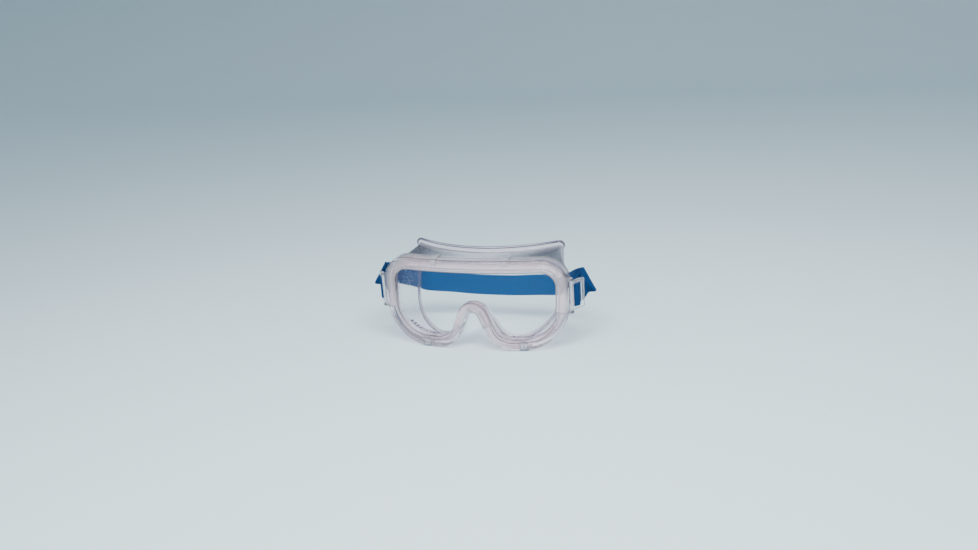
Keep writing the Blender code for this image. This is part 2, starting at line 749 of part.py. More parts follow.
def ribbon(name, stations, parts, look):
    """A strip of webbing along the stations."""
    bm = bmesh.new()
    rings = []
    for k, (centre, width) in enumerate(stations):
        before, after = stations[max(k - 1, 0)][0], stations[min(k + 1, len(stations) - 1)][0]
        across = width * STRAP_WIDTH / 2
        out = (after - before).cross(across).normalized() * STRAP_THICKNESS / 2
        near, far = centre - out, centre + out
        rings.append([near - across, near + across, far + across, far - across])
    loft_into(bm, rings, closed=False)
    return object_from(name, bm, parts, look)


def headband(parts, looks):
    look = looks["elastic_webbing"]
    backs = {}
    for side, name in SIDES:
        end, fold, back = strap_path(side)
        ribbon(f"strap_end_{name}", smooth(end, 2), parts, look)
        shortened = [*fold, (fold[-1][0].lerp(back[0][0], FOLD_REACH), back[0][1])]
        ribbon(f"strap_fold_{name}", smooth(shortened, 2), parts, look)
        backs[side] = smooth(back, 2)
    ribbon("strap_band", backs[-1] + backs[1][-2::-1], parts, look)


def main():
    clear_scene()
    parts = collection("safety_goggles")
    cutters = collection("cutters", shown=False)
    looks = {name: material(name) for name in COLOURS}
    holes = peg_holes(cutters)
    cut(soft_body(parts, cutters, looks), holes)
    lens(parts, looks)
    upper_cover(parts, cutters, looks, holes)
    nose_cover(parts, looks)
    lobe_clips(parts, looks)
    top_clips(parts, looks)
    top_pegs(parts, looks)
    for side, name in SIDES:
        strap_clip(side, name, parts, cutters, looks)
        hinge_pin(side, name, parts, looks)
    headband(parts, looks)


main()
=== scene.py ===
"""Safety goggles: the looks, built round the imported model.

Each piece is made again at a fine scale from the model's driving dimensions, in millimetres,
and stands for its node. "Outward" is an offset from the rim's outer edge, and "depth" runs back
from the covers' front.
"""

import math
from functools import partial

import bmesh
import bpy
from mathutils import Matrix, Vector
from mathutils.kdtree import KDTree


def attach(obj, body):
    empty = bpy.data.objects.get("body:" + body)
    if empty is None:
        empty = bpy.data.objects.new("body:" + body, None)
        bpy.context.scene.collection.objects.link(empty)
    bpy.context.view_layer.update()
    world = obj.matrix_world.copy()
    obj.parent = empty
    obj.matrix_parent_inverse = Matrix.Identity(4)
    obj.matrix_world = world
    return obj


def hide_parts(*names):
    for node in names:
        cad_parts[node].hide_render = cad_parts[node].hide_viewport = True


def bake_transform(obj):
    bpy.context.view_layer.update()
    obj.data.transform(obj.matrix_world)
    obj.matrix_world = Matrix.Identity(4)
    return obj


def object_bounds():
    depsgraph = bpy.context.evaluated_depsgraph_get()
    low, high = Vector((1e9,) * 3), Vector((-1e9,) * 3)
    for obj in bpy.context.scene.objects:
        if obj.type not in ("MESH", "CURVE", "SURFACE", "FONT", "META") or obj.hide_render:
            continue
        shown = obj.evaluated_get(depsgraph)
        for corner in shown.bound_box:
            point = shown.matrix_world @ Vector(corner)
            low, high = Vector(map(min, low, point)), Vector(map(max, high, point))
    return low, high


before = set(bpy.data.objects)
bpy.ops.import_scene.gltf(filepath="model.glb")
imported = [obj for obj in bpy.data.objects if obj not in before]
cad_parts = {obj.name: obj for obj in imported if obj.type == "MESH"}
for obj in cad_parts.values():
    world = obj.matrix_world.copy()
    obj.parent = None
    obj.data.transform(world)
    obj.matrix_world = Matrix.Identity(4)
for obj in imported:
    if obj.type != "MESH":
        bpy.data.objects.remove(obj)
cad_low, cad_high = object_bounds()

MM = 0.001
FRONT_Y = cad_low.y / MM

# The front, seen square on
RIM_HALF_WIDTH = 84.9
RIM_TOP = 83.0
RIM_BOTTOM = 2.0
RIM_TOP_RADIUS = 23.0
RIM_LOWER_RADIUS = 40.0
LOBE_RADIUS = 23.4
LOBE_CORNER_X = 19.8
NOSE_PEAK = 49.7
NOSE_RADIUS = 7.1
WRAP_SAG = 13.0
WRAP_HALF_WIDTH = 86.0

# The face side of the skirt
FACE_HALF_WIDTH = 71.0
FACE_TOP = 80.8
FACE_BOTTOM = 5.2
FACE_TOP_RADIUS = 3.0
FACE_LOWER_RADIUS = 35.0
FACE_LOBE_RADIUS = 21.0
FACE_LOBE_CORNER_X = 25.3
FACE_NOSE_PEAK = 52.5
FACE_NOSE_RADIUS = 12.0
TEMPLE_DEPTH = 67.0
FOREHEAD_DEPTH = 40.0
CHEEK_DEPTH = 46.0
NOSE_DEPTH = 17.5
NOSE_SHADE = 50.0
WALL = 1.8
WALL_REACH = 0.4
LIP_SIDE = 1.2
LIP_TOP = 5.5
LIP_BOTTOM = 3.5

# The rim's cross-section
COVER_FRONT = 1.7
COVER_SIDE = 1.8
GAP = 0.3
RIM_FRONT = COVER_FRONT + GAP
RIM_BACK = 12.7
RIM_BAND = 9.6
LOBE_BAND = 8.4
NOSE_BAND = 7.2
BAND_FADE = 8.0
NOSE_REACH = 24.0
BACK_STEP = 0.8
HOOK = 1.3
HOOK_EDGE = -0.8
SWELL = 1.8
SWELL_BAND = 5.6
SWELL_FRONT = 0.1
BITE = 0.5
GROOVE_FLOOR = 2.2
GROOVE_FRONT = 5.8
GROOVE_BACK = 8.4
LENS_INSET = 2.8
LENS_THICKNESS = 2.0
WALL_INSET = 1.5
RECESS_DEPTH = 0.35
RECESS_INNER = 2.0
RECESS_OUTER = 2.4

# Small parts
LENS_STRIP = 2.6
LOBE_CLIP_X = 46.0
LOBE_CLIP_HALF_WIDTH = 3.3
LOBE_CLIP_WALL = 1.7
LOBE_CLIP_LEG = 6.8
LOBE_CLIP_ROOM = 1.2
TOP_CLIP_X = 33.0
TOP_CLIP_HALF_WIDTH = 2.5
TOP_CLIP_WALL = 0.8
TOP_CLIP_LEG = 2.4
CLIP_SHARES = (-1, -0.9, -0.5, 0, 0.5, 0.9, 1)
PEG_X = 56.0
PEG_DEPTH = 10.2
PEG_RADIUS = 1.2
PEG_LENGTH = 4.6
PEG_HEAD = 0.4
PEG_HOLE_SIDES = 24
SEAM_TURN = math.radians(10)
NOSE_SEAM_Z = 22.5
VENT_RADIUS = 1.2
VENT_PITCH = 3.9
VENT_DEPTH = 18.6
VENTS_INSIDE = 4
VENTS_OUTSIDE = 8
VENT_LENGTH = 7.0
VENT_SIDES = 20
VENT_SHADE_RING = 0.25
VENT_SHADE_FADE = 0.2

# Strap clips
HINGE_X = 88.9
HINGE_DEPTH = 15.5
CLIP_Z = 51.0
CLIP_ANGLE = math.radians(58)
CLIP_HALF_HEIGHT = 13.6
CLIP_LENGTH = 15.8
CLIP_THICKNESS = 2.4
CLIP_CORNER = 1.8
CLIP_EDGE = 0.45
BARREL_RADIUS = 1.6
BARREL_SIDES = 40
SLOT_HALF_HEIGHT = 10.9
SLOT_CORNER = 0.9
SLOTS = ((2.1, 5.7), (7.7, 13.3))
PIN_RADIUS = 0.65
PIN_HOLE_RADIUS = 0.95
PIN_HOLE_SIDES = 32
PIN_HEAD_RADIUS = 1.4
PIN_HEAD = 0.8
PIN_DOME = 0.35
LUG_HEIGHT = 2.0
LUG_RADIUS = 2.0
LUG_STEPS = 16
LUG_EDGE = 0.25
LUG_END_SIZE = 0.9
LUG_GAP = 0.4
WEB_FRONT = 1.6
WEB_BACK = 2.2

# Headband
STRAP_WIDTH = 21.0
STRAP_THICKNESS = 1.0
BAND_END_X = 70.0
STRAP_CORDS = 14
POINTS_PER_CORD = 6
CORD_RELIEF = 0.07
WEFT_PITCH = 0.55
SELVEDGE_SHARE = 0.965
SELVEDGE_HALF = 0.22

# Marks on the clear pieces: a painted dark line where an edge bends the light, and frost on the wall
PAINTED_LINE_TINT = (0.03, 0.012, 0.045)
EDGE_FALLOFF = 1.3
MARKS = ("line", "frost", "run")
# Painted shade towards the skirt's upper corners: its strength, and the x over which it grows on
# wall and lip
CORNER_SHADE = 0.82
WALL_SHADE_X = (10, 60)
LIP_SHADE_X = (50, 68)
LEAST_MARK = 0.01
WALL_STEPS = 18
FROST_RISE = 6

# Meshing
MERGE = 0.005
TURNED_SIDES = 32
LONGEST_ROUNDING = 0.44
LONGEST_MARGIN = 0.49

SIDES = ((-1, "left"), (1, "right"))


# ---- materials


class Shade:
    """A node material under construction: each method adds a node and returns its output."""

    # A Mix node's colour sockets, by number because their names repeat
    MIX_A, MIX_B, MIX_RESULT = 6, 7, 2

    def __init__(self, name):
        self.material = bpy.data.materials.new(name)
        self.material.use_nodes = True
        self.tree = self.material.node_tree
        self.tree.nodes.clear()

    def node(self, kind, inputs=None, **settings):
        made = self.tree.nodes.new(kind)
        for key, value in settings.items():
            setattr(made, key, value)
        for key, value in (inputs or {}).items():
            self.feed(made.inputs[key], value)
        return made

    def feed(self, socket, value):
        if isinstance(value, bpy.types.NodeSocket):
            self.tree.links.new(value, socket)
        elif isinstance(value, tuple) and len(value) == 3 and socket.type == "RGBA":
            socket.default_value = (*value, 1.0)
        else:
            socket.default_value = value

    def place(self):
        return self.node("ShaderNodeTexCoord").outputs["Object"]

    def noise(self, scale, detail, where=None):
        vector = where or self.place()
        inputs = {"Vector": vector, "Scale": scale, "Detail": detail, "Roughness": 0.5}
        return self.node("ShaderNodeTexNoise", inputs).outputs["Fac"]

    def attribute(self, name):
        return self.node("ShaderNodeAttribute", attribute_name=name).outputs["Fac"]

    def math(self, operation, a, b=0.0, c=0.0, clamp=False):
        inputs = {0: a, 1: b, 2: c}
        return self.node("ShaderNodeMath", inputs, operation=operation, use_clamp=clamp).outputs[0]

    def scaled(self, value, factor):
        return self.math("MULTIPLY", value, factor)

    def ramp(self, value, low, high, start, end):
        """value from low..high mapped to start..end, held at both ends."""
        inputs = {"Value": value, "From Min": low, "From Max": high, "To Min": start, "To Max": end}
        return self.node("ShaderNodeMapRange", inputs).outputs["Result"]

    def mix(self, share, a, b):
        inputs = {"Factor": share, self.MIX_A: a, self.MIX_B: b}
        return self.node("ShaderNodeMix", inputs, data_type="RGBA").outputs[self.MIX_RESULT]

    def edge(self, start):
        """Painted outline: 1 where the surface is seen edge on, falling to 0 at this facing value.
        """
        facing = self.node("ShaderNodeLayerWeight", {"Blend": 0.5}).outputs["Facing"]
        return self.math("POWER", self.ramp(facing, start, 1, 0, 1), EDGE_FALLOFF)

    def bump(self, height, distance):
        inputs = {"Height": height, "Distance": distance, "Strength": 1.0}
        return self.node("ShaderNodeBump", inputs).outputs["Normal"]

    def split(self, vector):
        """The first two parts of a vector."""
        return self.node("ShaderNodeSeparateXYZ", {0: vector}).outputs[:2]

    def principled(self, inputs):
        return self.node("ShaderNodeBsdfPrincipled", inputs).outputs[0]

    def finish(self, shader):
        self.node("ShaderNodeOutputMaterial", {"Surface": shader})
        return self.material


def lit_through(shade, glass, tint):
    """Lets lamp light pass a clear surface in its tint, so that it casts a pale shadow."""
    clear = shade.node("ShaderNodeBsdfTransparent", {"Color": tint}).outputs[0]
    shadow = shade.node("ShaderNodeLightPath").outputs["Is Shadow Ray"]
    return shade.node("ShaderNodeMixShader", {0: shadow, 1: glass, 2: clear}).outputs[0]


def clear_plastic(name, thin, thick, rim, shadow, ior, gloss, cloudy, relief):
    """Clear moulded plastic. thin and thick are its tints, rim the tint of its painted dark outline
    seen edge on, shadow the tint of the light it lets by, cloudy its most roughness and relief
    the height of its ripples."""
    shade = Shade(name)
    broad = shade.noise(35, 4)
    tint = shade.mix(shade.ramp(broad, 0.35, 0.65, 0, 1), thin, thick)
    # Painted dark outline where the plastic is seen edge on, then painted dark lines along its
    # marked edges
    tint = shade.mix(shade.edge(0.75), tint, rim)
    tint = shade.mix(shade.attribute("line"), tint, PAINTED_LINE_TINT)
    specks = shade.ramp(shade.noise(420, 2), 0.62, 0.72, 0, 0.05)
    ripples = shade.math("ADD", shade.noise(60, 2), shade.scaled(shade.noise(900, 3), 0.05))
    glass = shade.principled({
        "Base Color": tint, "IOR": ior, "Transmission Weight": 1 - 0.1 * gloss,
        "Roughness": shade.math("ADD", shade.ramp(broad, 0.3, 0.7, 0, cloudy), specks),
        "Normal": shade.bump(ripples, relief),
        "Coat Weight": gloss, "Coat Roughness": 0.02, "Coat IOR": 1.5,
    })
    return shade.finish(lit_through(shade, glass, shadow))


def vent_shade_rings(shade, wall):
    """1 on a painted dark ring of shade round each vent of the wall."""
    run = shade.attribute("run")
    x, y = shade.split(shade.place())
    bow = shade.scaled(shade.scaled(x, x), WRAP_SAG / WRAP_HALF_WIDTH**2 / MM)
    flat_y = shade.scaled(shade.math("SUBTRACT", y, bow), 1 / MM)
    deep = shade.math("SUBTRACT", flat_y, FRONT_Y + VENT_DEPTH)
    off = shade.math("WRAP", run, -VENT_PITCH / 2, VENT_PITCH / 2)
    squares = shade.math("ADD", shade.scaled(off, off), shade.scaled(deep, deep))
    edge = VENT_RADIUS + VENT_SHADE_RING
    near = shade.ramp(shade.math("SQRT", squares), edge, edge + VENT_SHADE_FADE, 1, 0)
    middle = (VENTS_OUTSIDE - VENTS_INSIDE) / 2 * VENT_PITCH
    span = (VENTS_OUTSIDE + VENTS_INSIDE + 1) / 2 * VENT_PITCH
    from_middle = shade.math("ABSOLUTE", shade.math("SUBTRACT", run, middle))
    in_row = shade.math("LESS_THAN", from_middle, span)
    return shade.scaled(shade.scaled(near, in_row), shade.ramp(wall, 0.2, 0.4, 0, 1))


def soft_vinyl(name):
    """Soft clear vinyl: its frost is 0 at the glossy pink rim and lip, and 1 on the milky wall."""
    shade = Shade(name)
    frost = shade.attribute("frost")
    cloud = shade.noise(45, 4)
    tint = shade.mix(frost, (1.0, 0.895, 0.93), (0.955, 0.925, 0.955))
    tint = shade.mix(shade.ramp(cloud, 0.4, 0.7, 0, 0.3), tint, (0.97, 0.82, 0.87))
    # Painted dark outline where the vinyl is seen edge on, then painted dark lines along its marked
    # edges
    tint = shade.mix(shade.edge(0.62), tint, (0.05, 0.03, 0.07))
    tint = shade.mix(shade.attribute("line"), tint, PAINTED_LINE_TINT)
    # Painted shade: a dark ring round each vent
    tint = shade.mix(vent_shade_rings(shade, frost), tint, (0.12, 0.05, 0.10))
    shadow = shade.mix(frost, (0.55, 0.51, 0.56), (0.95, 0.94, 0.95))
    rough = shade.ramp(frost, 0, 1, 0.02, 0.14)
    rough = shade.math("ADD", rough, shade.ramp(cloud, 0.3, 0.7, 0.0, 0.04))
    specks = shade.ramp(shade.noise(600, 1), 0.66, 0.70, 0, 0.15)
    grain = shade.scaled(shade.noise(1500, 3), 0.02)
    glass = shade.principled({
        "Base Color": tint, "IOR": 1.2,
        "Roughness": shade.math("ADD", rough, specks, clamp=True),
        "Normal": shade.bump(shade.math("ADD", grain, shade.scaled(cloud, 0.5)), 0.00003),
        "Transmission Weight": shade.ramp(frost, 0, 1, 0.94, 0.988),
        "Coat Weight": shade.ramp(frost, 0, 1, 0.6, 0.0), "Coat IOR": 1.5,
    })
    return shade.finish(lit_through(shade, glass, shadow))


def wire_steel(name):
    """Drawn steel wire with fine lines along it."""
    shade = Shade(name)
    drawn = {"Vector": shade.place(), "Scale": (6000.0, 6000.0, 150.0)}
    lines = shade.noise(1.0, 3, shade.node("ShaderNodeMapping", drawn).outputs[0])
    return shade.finish(shade.principled({
        "Base Color": shade.mix(lines, (0.50, 0.50, 0.52), (0.78, 0.78, 0.80)),
        "Metallic": 1.0,
        "Roughness": shade.ramp(lines, 0.3, 0.7, 0.18, 0.38),
        "Normal": shade.bump(lines, 0.00002),
    }))


def webbing(name):
    """Woven elastic: lengthwise cords crossed by fine weft, with stray fibres. Its map is in
    millimetres, along and across the strap."""
    shade = Shade(name)
    mapped = shade.node("ShaderNodeUVMap", uv_map="strap").outputs[0]
    along, across = shade.split(mapped)
    fuzz = shade.noise(1.6, 4, mapped)
    bent = shade.math("ADD", along, shade.scaled(fuzz, 0.5))
    weft = shade.math("SINE", shade.scaled(bent, 2 * math.pi / WEFT_PITCH))
    cord = shade.math("COSINE", shade.scaled(across, 2 * math.pi * STRAP_CORDS / STRAP_WIDTH))
    thread = shade.ramp(shade.scaled(weft, cord), -1, 1, 0, 1)
    worn = shade.ramp(shade.noise(0.35, 3, mapped), 0.4, 0.7, 0, 0.25)
    # Painted shade: darker from the tail through the clip and fold, fading out between 60 and 110 mm
    # along
    painted_shade = shade.ramp(along, 60, 110, 0.78, 0)
    fibre = shade.ramp(shade.noise(9.0, 2, mapped), 0.68, 0.78, 0, 0.25)
    colour = shade.mix(thread, (0.001, 0.028, 0.105), (0.002, 0.075, 0.24))
    colour = shade.mix(worn, colour, (0.004, 0.105, 0.30))
    colour = shade.mix(painted_shade, colour, (0.001, 0.02, 0.08))
    colour = shade.mix(fibre, colour, (0.07, 0.30, 0.60))
    height = shade.math("ADD", thread, shade.scaled(fuzz, 0.6))
    return shade.finish(shade.principled({
        "Base Color": colour, "Normal": shade.bump(height, 0.00012),
        "Roughness": shade.ramp(thread, 0, 1, 0.92, 0.72), "Specular IOR Level": 0.15,
        "Sheen Weight": 0.06, "Sheen Roughness": 0.4, "Sheen Tint": (0.2, 0.5, 0.95),
    }))


LOOKS = {
    "soft_pvc": soft_vinyl("soft_vinyl"),
    "clear_polycarbonate": clear_plastic(
        "lens_polycarbonate", thin=(0.99, 0.995, 0.995), thick=(0.98, 0.99, 0.99),
        rim=(0.70, 0.74, 0.78), shadow=(0.97, 0.98, 0.98), ior=1.16, gloss=0.0, cloudy=0.01,
        relief=0.000002,
    ),
    "cover_plastic": clear_plastic(
        "cover_plastic", thin=(1.0, 0.96, 0.975), thick=(1.0, 0.895, 0.925),
        rim=(0.06, 0.03, 0.06), shadow=(0.80, 0.76, 0.80), ior=1.22, gloss=0.6, cloudy=0.02,
        relief=0.00001,
    ),
    "clip_plastic": clear_plastic(
        "clip_plastic", thin=(0.96, 0.965, 0.98), thick=(0.93, 0.94, 0.965),
        rim=(0.10, 0.13, 0.20), shadow=(0.82, 0.82, 0.85), ior=1.36, gloss=0.6, cloudy=0.04,
        relief=0.00001,
    ),
    "steel": wire_steel("wire_steel"),
    "elastic_webbing": webbing("elastic_webbing"),
}


# ---- mesh helpers


def linked(name, data):
    """A new object in the scene."""
    made = bpy.data.objects.new(name, data)
    bpy.context.scene.collection.objects.link(made)
    return made


def evaluated_mesh(made):
    """A copy of the object's mesh with its modifiers applied."""
    return bpy.data.meshes.new_from_object(made.evaluated_get(bpy.context.evaluated_depsgraph_get()))


def smooth_mesh(mesh, sharp):
    """Shades the mesh smooth, except over edges sharper than this many degrees."""
    mesh.shade_smooth()
    mesh.set_sharp_from_angle(angle=math.radians(sharp))


def object_from(name, bm, sharp=35):
    """A new object from a bmesh that holds millimetres."""
    bmesh.ops.scale(bm, vec=(MM, MM, MM), verts=bm.verts)
    bmesh.ops.recalc_face_normals(bm, faces=bm.faces)
    mesh = bpy.data.meshes.new(name)
    bm.to_mesh(mesh)
    bm.free()
    smooth_mesh(mesh, sharp)
    return linked(name, mesh)


def piece(made, slot, node, body="frame"):
    """Finishes a piece: its material, the node it stands for, and the body it rides on."""
    made.data.materials.clear()
    made.data.materials.append(LOOKS[slot])
    if body:
        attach(made, body)
    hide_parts(node)
    return made


def settled(made, sharp=35):
    """Applies the object's modifiers and removes the cutters they used."""
    used = [modifier.object for modifier in made.modifiers if modifier.type == "BOOLEAN"]
    shape = evaluated_mesh(made)
    made.modifiers.clear()
    made.data = shape
    for cutter in used:
        bpy.data.objects.remove(cutter)
    smooth_mesh(shape, sharp)
    return made


def boolean(target, tool, operation="DIFFERENCE"):
    modifier = target.modifiers.new(tool.name, "BOOLEAN")
    modifier.operation = operation
    modifier.object = tool
    modifier.solver = "EXACT"


def cylinder_into(bm, centre, axis, radius, length, sides):
    turn = Vector((0, 0, 1)).rotation_difference(Vector(axis)).to_matrix().to_4x4()
    bmesh.ops.create_cone(
        bm, cap_ends=True, segments=sides, radius1=radius, radius2=radius, depth=length,
        matrix=Matrix.Translation(centre) @ turn,
    )


def loft_into(bm, rings, closed):
    """Adds quads between rings of equal length, with flat ends unless the rings close on
    themselves. Returns the rings' verts."""
    made = [[bm.verts.new(point) for point in ring] for ring in rings]
    onward = made[1:] + made[:1] if closed else made[1:]
    for ring, following in zip(made, onward):
        for k in range(len(ring)):
            bm.faces.new((ring[k - 1], ring[k], following[k], following[k - 1]))
    if not closed:
        bm.faces.new(made[0])
        bm.faces.new(made[-1])
    return made


def turned_profile(name, profile, axis_point):
    """A solid turned about a vertical axis, from (radius, z) points that start and end on it."""
    bm = bmesh.new()
    verts = [bm.verts.new(axis_point + Vector((r, 0, z))) for r, z in profile]
    edges = [bm.edges.new(pair) for pair in zip(verts, verts[1:])]
    bmesh.ops.spin(
        bm, geom=[*verts, *edges], cent=axis_point, axis=(0, 0, 1), angle=2 * math.pi,
        steps=TURNED_SIDES, use_merge=True,
    )
    bmesh.ops.remove_doubles(bm, verts=bm.verts, dist=MERGE)
    return object_from(name, bm)


def lined(corners, steps=4, margin=0.3):
    """A closed loop of (point, line, frost) from (point, rounding, line, frost) corners. Each
    corner becomes a short curve that starts and ends at its rounding's distance along the two
    edges. A point just beyond each lined corner keeps its line narrow."""
    def along(point, edge, reach, longest):
        return point + edge * min(reach / edge.length, longest)

    loop = []
    for k, (point, rounding, line, frost) in enumerate(corners):
        if not rounding:
            loop.append((point, line, frost))
            continue
        back = corners[k - 1][0] - point
        ahead = corners[(k + 1) % len(corners)][0] - point
        start = along(point, back, rounding, LONGEST_ROUNDING)
        end = along(point, ahead, rounding, LONGEST_ROUNDING)
        if line:
            loop.append((along(point, back, rounding + margin, LONGEST_MARGIN), 0.0, frost))
        for step in range(steps + 1):
            t = step / steps
            bend = start * (1 - t) ** 2 + point * 2 * t * (1 - t) + end * t * t
            loop.append((bend, line, frost))
        if line:
            loop.append((along(point, ahead, rounding + margin, LONGEST_MARGIN), 0.0, frost))
    return loop


def clear_corners(placed, corners):
    """Corners for lined from ((outward, depth), rounding, line), placed and with no frost."""
    return [(placed(*spot), rounding, line, 0.0) for spot, rounding, line in corners]


def lined_loft(name, sections, closed, end_line=0.0, sharp=50):
    """Lofts sections of (point, line, frost, run) and keeps all but the point as attributes.
    end_line marks both ends. The run may be left out."""
    bm = bmesh.new()
    layers = [bm.verts.layers.float.new(mark) for mark in MARKS]
    rings = loft_into(bm, [[values[0] for values in section] for section in sections], closed)
    for ring, section in zip(rings, sections):
        for vert, (_, *values) in zip(ring, section):
            for layer, value in zip(layers, values):
                vert[layer] = value
    if end_line:
        for vert in (*rings[0], *rings[-1]):
            vert[layers[0]] = end_line
    return object_from(name, bm, sharp=sharp)


def mark_layers(obj):
    return [obj.data.attributes[mark].data for mark in MARKS]


def marks_of(objects):
    """Each vertex of these objects with its line, frost and run."""
    marks = []
    for obj in objects:
        layers = mark_layers(obj)
        for vert in obj.data.vertices:
            marks.append((vert.co.copy(), [layer[vert.index].value for layer in layers]))
    return marks


def restore_marks(obj, marks, reach=0.03):
    """Gives each vertex the frost and run of the nearest mark, and its line too if it lies on
    the mark."""
    tree = KDTree(len(marks))
    for k, (place, _) in enumerate(marks):
        tree.insert(place, k)
    tree.balance()
    layers = mark_layers(obj)
    for vert in obj.data.vertices:
        _, k, gap = tree.find(vert.co)
        line, frost, run = marks[k][1]
        for layer, value in zip(layers, (line if gap < reach * MM else 0.0, frost, run)):
            layer[vert.index].value = value


def with_short_ends(places, reach=0.35):
    """The places with one more just inside each end."""
    def inside(end, following):
        share = reach / (following[0] - end[0]).length
        return end[0].lerp(following[0], share), end[1].lerp(following[1], share)

    return [places[0], inside(*places[:2]), *places[1:-1], inside(*places[:-3:-1]), places[-1]]


# ---- outlines


def turned(vector, angle):
    cosine, sine = math.cos(angle), math.sin(angle)
    return Vector((vector.x * cosine - vector.y * sine, vector.x * sine + vector.y * cosine))


def rounded_outline(corners):
    """Points and outward normals round a closed polygon of (x, z, radius, arc steps, line steps)
    corners."""
    arcs = []
    for k, (x, z, radius, steps, line_steps) in enumerate(corners):
        here = Vector((x, z))
        before = Vector(corners[k - 1][:2])
        after = Vector(corners[(k + 1) % len(corners)][:2])
        inbound, outbound = (here - before).normalized(), (after - here).normalized()
        bend = math.atan2(inbound.cross(outbound), inbound.dot(outbound))
        start = here - inbound * radius * math.tan(abs(bend) / 2)
        centre = start + Vector((-inbound.y, inbound.x)) * math.copysign(radius, bend)
        outward = Vector((inbound.y, -inbound.x))
        turns = [bend * step / steps for step in range(steps + 1)]
        arc = [(centre + turned(start - centre, turn), turned(outward, turn)) for turn in turns]
        arcs.append((arc, line_steps))
    outline = []
    for k, (arc, line_steps) in enumerate(arcs):
        outline += arc
        (end, normal), (onward, _) = arc[-1], arcs[(k + 1) % len(arcs)][0][0]
        outline += [(end.lerp(onward, step / line_steps), normal) for step in range(1, line_steps)]
    return outline


def goggle_outline(half_width, top, bottom, top_radius, lower_radius, lobe, peak, nose_radius):
    """The wide top, the two lobes and the nose notch between them, starting at the upper left
    corner's end. lobe is its corner's x and its radius."""
    lobe_x, lobe_radius = lobe
    return rounded_outline([
        (-half_width, top, top_radius, 20, 10), (-half_width, bottom, lower_radius, 34, 3),
        (-lobe_x, bottom, lobe_radius, 22, 12), (0, peak, nose_radius, 24, 12),
        (lobe_x, bottom, lobe_radius, 22, 3), (half_width, bottom, lower_radius, 34, 10),
        (half_width, top, top_radius, 20, 60),
    ])


RIM = goggle_outline(
    RIM_HALF_WIDTH, RIM_TOP, RIM_BOTTOM, RIM_TOP_RADIUS, RIM_LOWER_RADIUS,
    (LOBE_CORNER_X, LOBE_RADIUS), NOSE_PEAK, NOSE_RADIUS,
)
FACE = goggle_outline(
    FACE_HALF_WIDTH, FACE_TOP, FACE_BOTTOM, FACE_TOP_RADIUS, FACE_LOWER_RADIUS,
    (FACE_LOBE_CORNER_X, FACE_LOBE_RADIUS), FACE_NOSE_PEAK, FACE_NOSE_RADIUS,
)


def stretch(wanted, first, last):
    """The rim's places from the one nearest to first to the one nearest to last, in order."""
    def nearest(target):
        choices = [k for k, (point, _) in enumerate(RIM) if wanted(point)]
        return min(choices, key=lambda k: (RIM[k][0] - Vector(target)).length)

    start, end = nearest(first), nearest(last)
    if end < start:
        end += len(RIM)
    return [RIM[k % len(RIM)] for k in range(start, end + 1)]


def lobe_places(side):
    """The rim's places round one lobe, from the nose outwards."""
    below = RIM_TOP - RIM_TOP_RADIUS
    places = [(p, normal) for p, normal in RIM if p.x * side > NOSE_RADIUS and p.y < below]
    return places if side > 0 else places[::-1]


def lobe_distances(side):
    """How far each of the lobe's places is along the outline from its foot, outward positive."""
    points = [point for point, _ in lobe_places(side)]
    travelled = [0.0]
    for here, following in zip(points, points[1:]):
        travelled.append(travelled[-1] + (following - here).length)
    foot = Vector((side * (RIM_HALF_WIDTH - RIM_LOWER_RADIUS), RIM_BOTTOM))
    at_foot = travelled[min(range(len(points)), key=lambda k: (points[k] - foot).length)]
    return [distance - at_foot for distance in travelled]


def walk(side, distance):
    """The place at this distance from the lobe's foot, outward if positive."""
    places, distances = lobe_places(side), lobe_distances(side)
    k = max(k for k in range(len(places) - 1) if distances[k] <= distance)
    share = (distance - distances[k]) / (distances[k + 1] - distances[k])
    (here, normal), (following, next_normal) = places[k], places[k + 1]
    return here.lerp(following, share), normal.lerp(next_normal, share).normalized()


def lobe_run(side, start, end):
    """The places of one lobe between two distances from its foot."""
    between = [p for p, d in zip(lobe_places(side), lobe_distances(side)) if start < d < end]
    return [walk(side, start), *between, walk(side, end)]


def distance_to(side, x, z):
    """The distance from the lobe's foot to its place nearest to (x, z)."""
    target = Vector((side * x, z))
    pairs = zip(lobe_places(side), lobe_distances(side))
    return min(pairs, key=lambda pair: (pair[0][0] - target).length)[1]


def sag(x):
    """How far the wrapped front has fallen back at this distance from the middle."""
    return WRAP_SAG * (x / WRAP_HALF_WIDTH) ** 2


def on_rim(place, outward, depth):
    point, normal = place
    flat = point + normal * outward
    return Vector((flat.x, FRONT_Y + sag(flat.x) + depth, flat.y))


def clamped(value, least=0):
    return min(max(value, least), 1)


def face_depth(x, z):
    """The depth of the edge that follows the face."""
    spread = (x / FACE_HALF_WIDTH) ** 2
    brow = FOREHEAD_DEPTH + (TEMPLE_DEPTH - FOREHEAD_DEPTH) * spread
    cheek = NOSE_DEPTH + (CHEEK_DEPTH - NOSE_DEPTH) * spread
    low = NOSE_SHADE * (1 - abs(x) / FACE_HALF_WIDTH)
    share = clamped((z - low) / (FACE_TOP - low))
    return cheek + (brow - cheek) * share * share * (3 - 2 * share)


def lip_width(normal):
    """The lip's width beyond the wall: widest over the forehead, least at the temples."""
    wanted = LIP_TOP if normal.y > 0 else LIP_BOTTOM
    return LIP_SIDE + (wanted - LIP_SIDE) * abs(normal.y)


def band_width(point):
    """How far the rim reaches in over the lens at this point: most on top, least at the nose."""
    if point.y > RIM_TOP - RIM_TOP_RADIUS:
        return RIM_BAND
    low = clamped((side_seam()[1] - point.y) / BAND_FADE)
    near_nose = clamped((NOSE_REACH - abs(point.x)) / BAND_FADE)
    width = RIM_BAND + (LOBE_BAND - RIM_BAND) * low
    return width + (NOSE_BAND - width) * near_nose


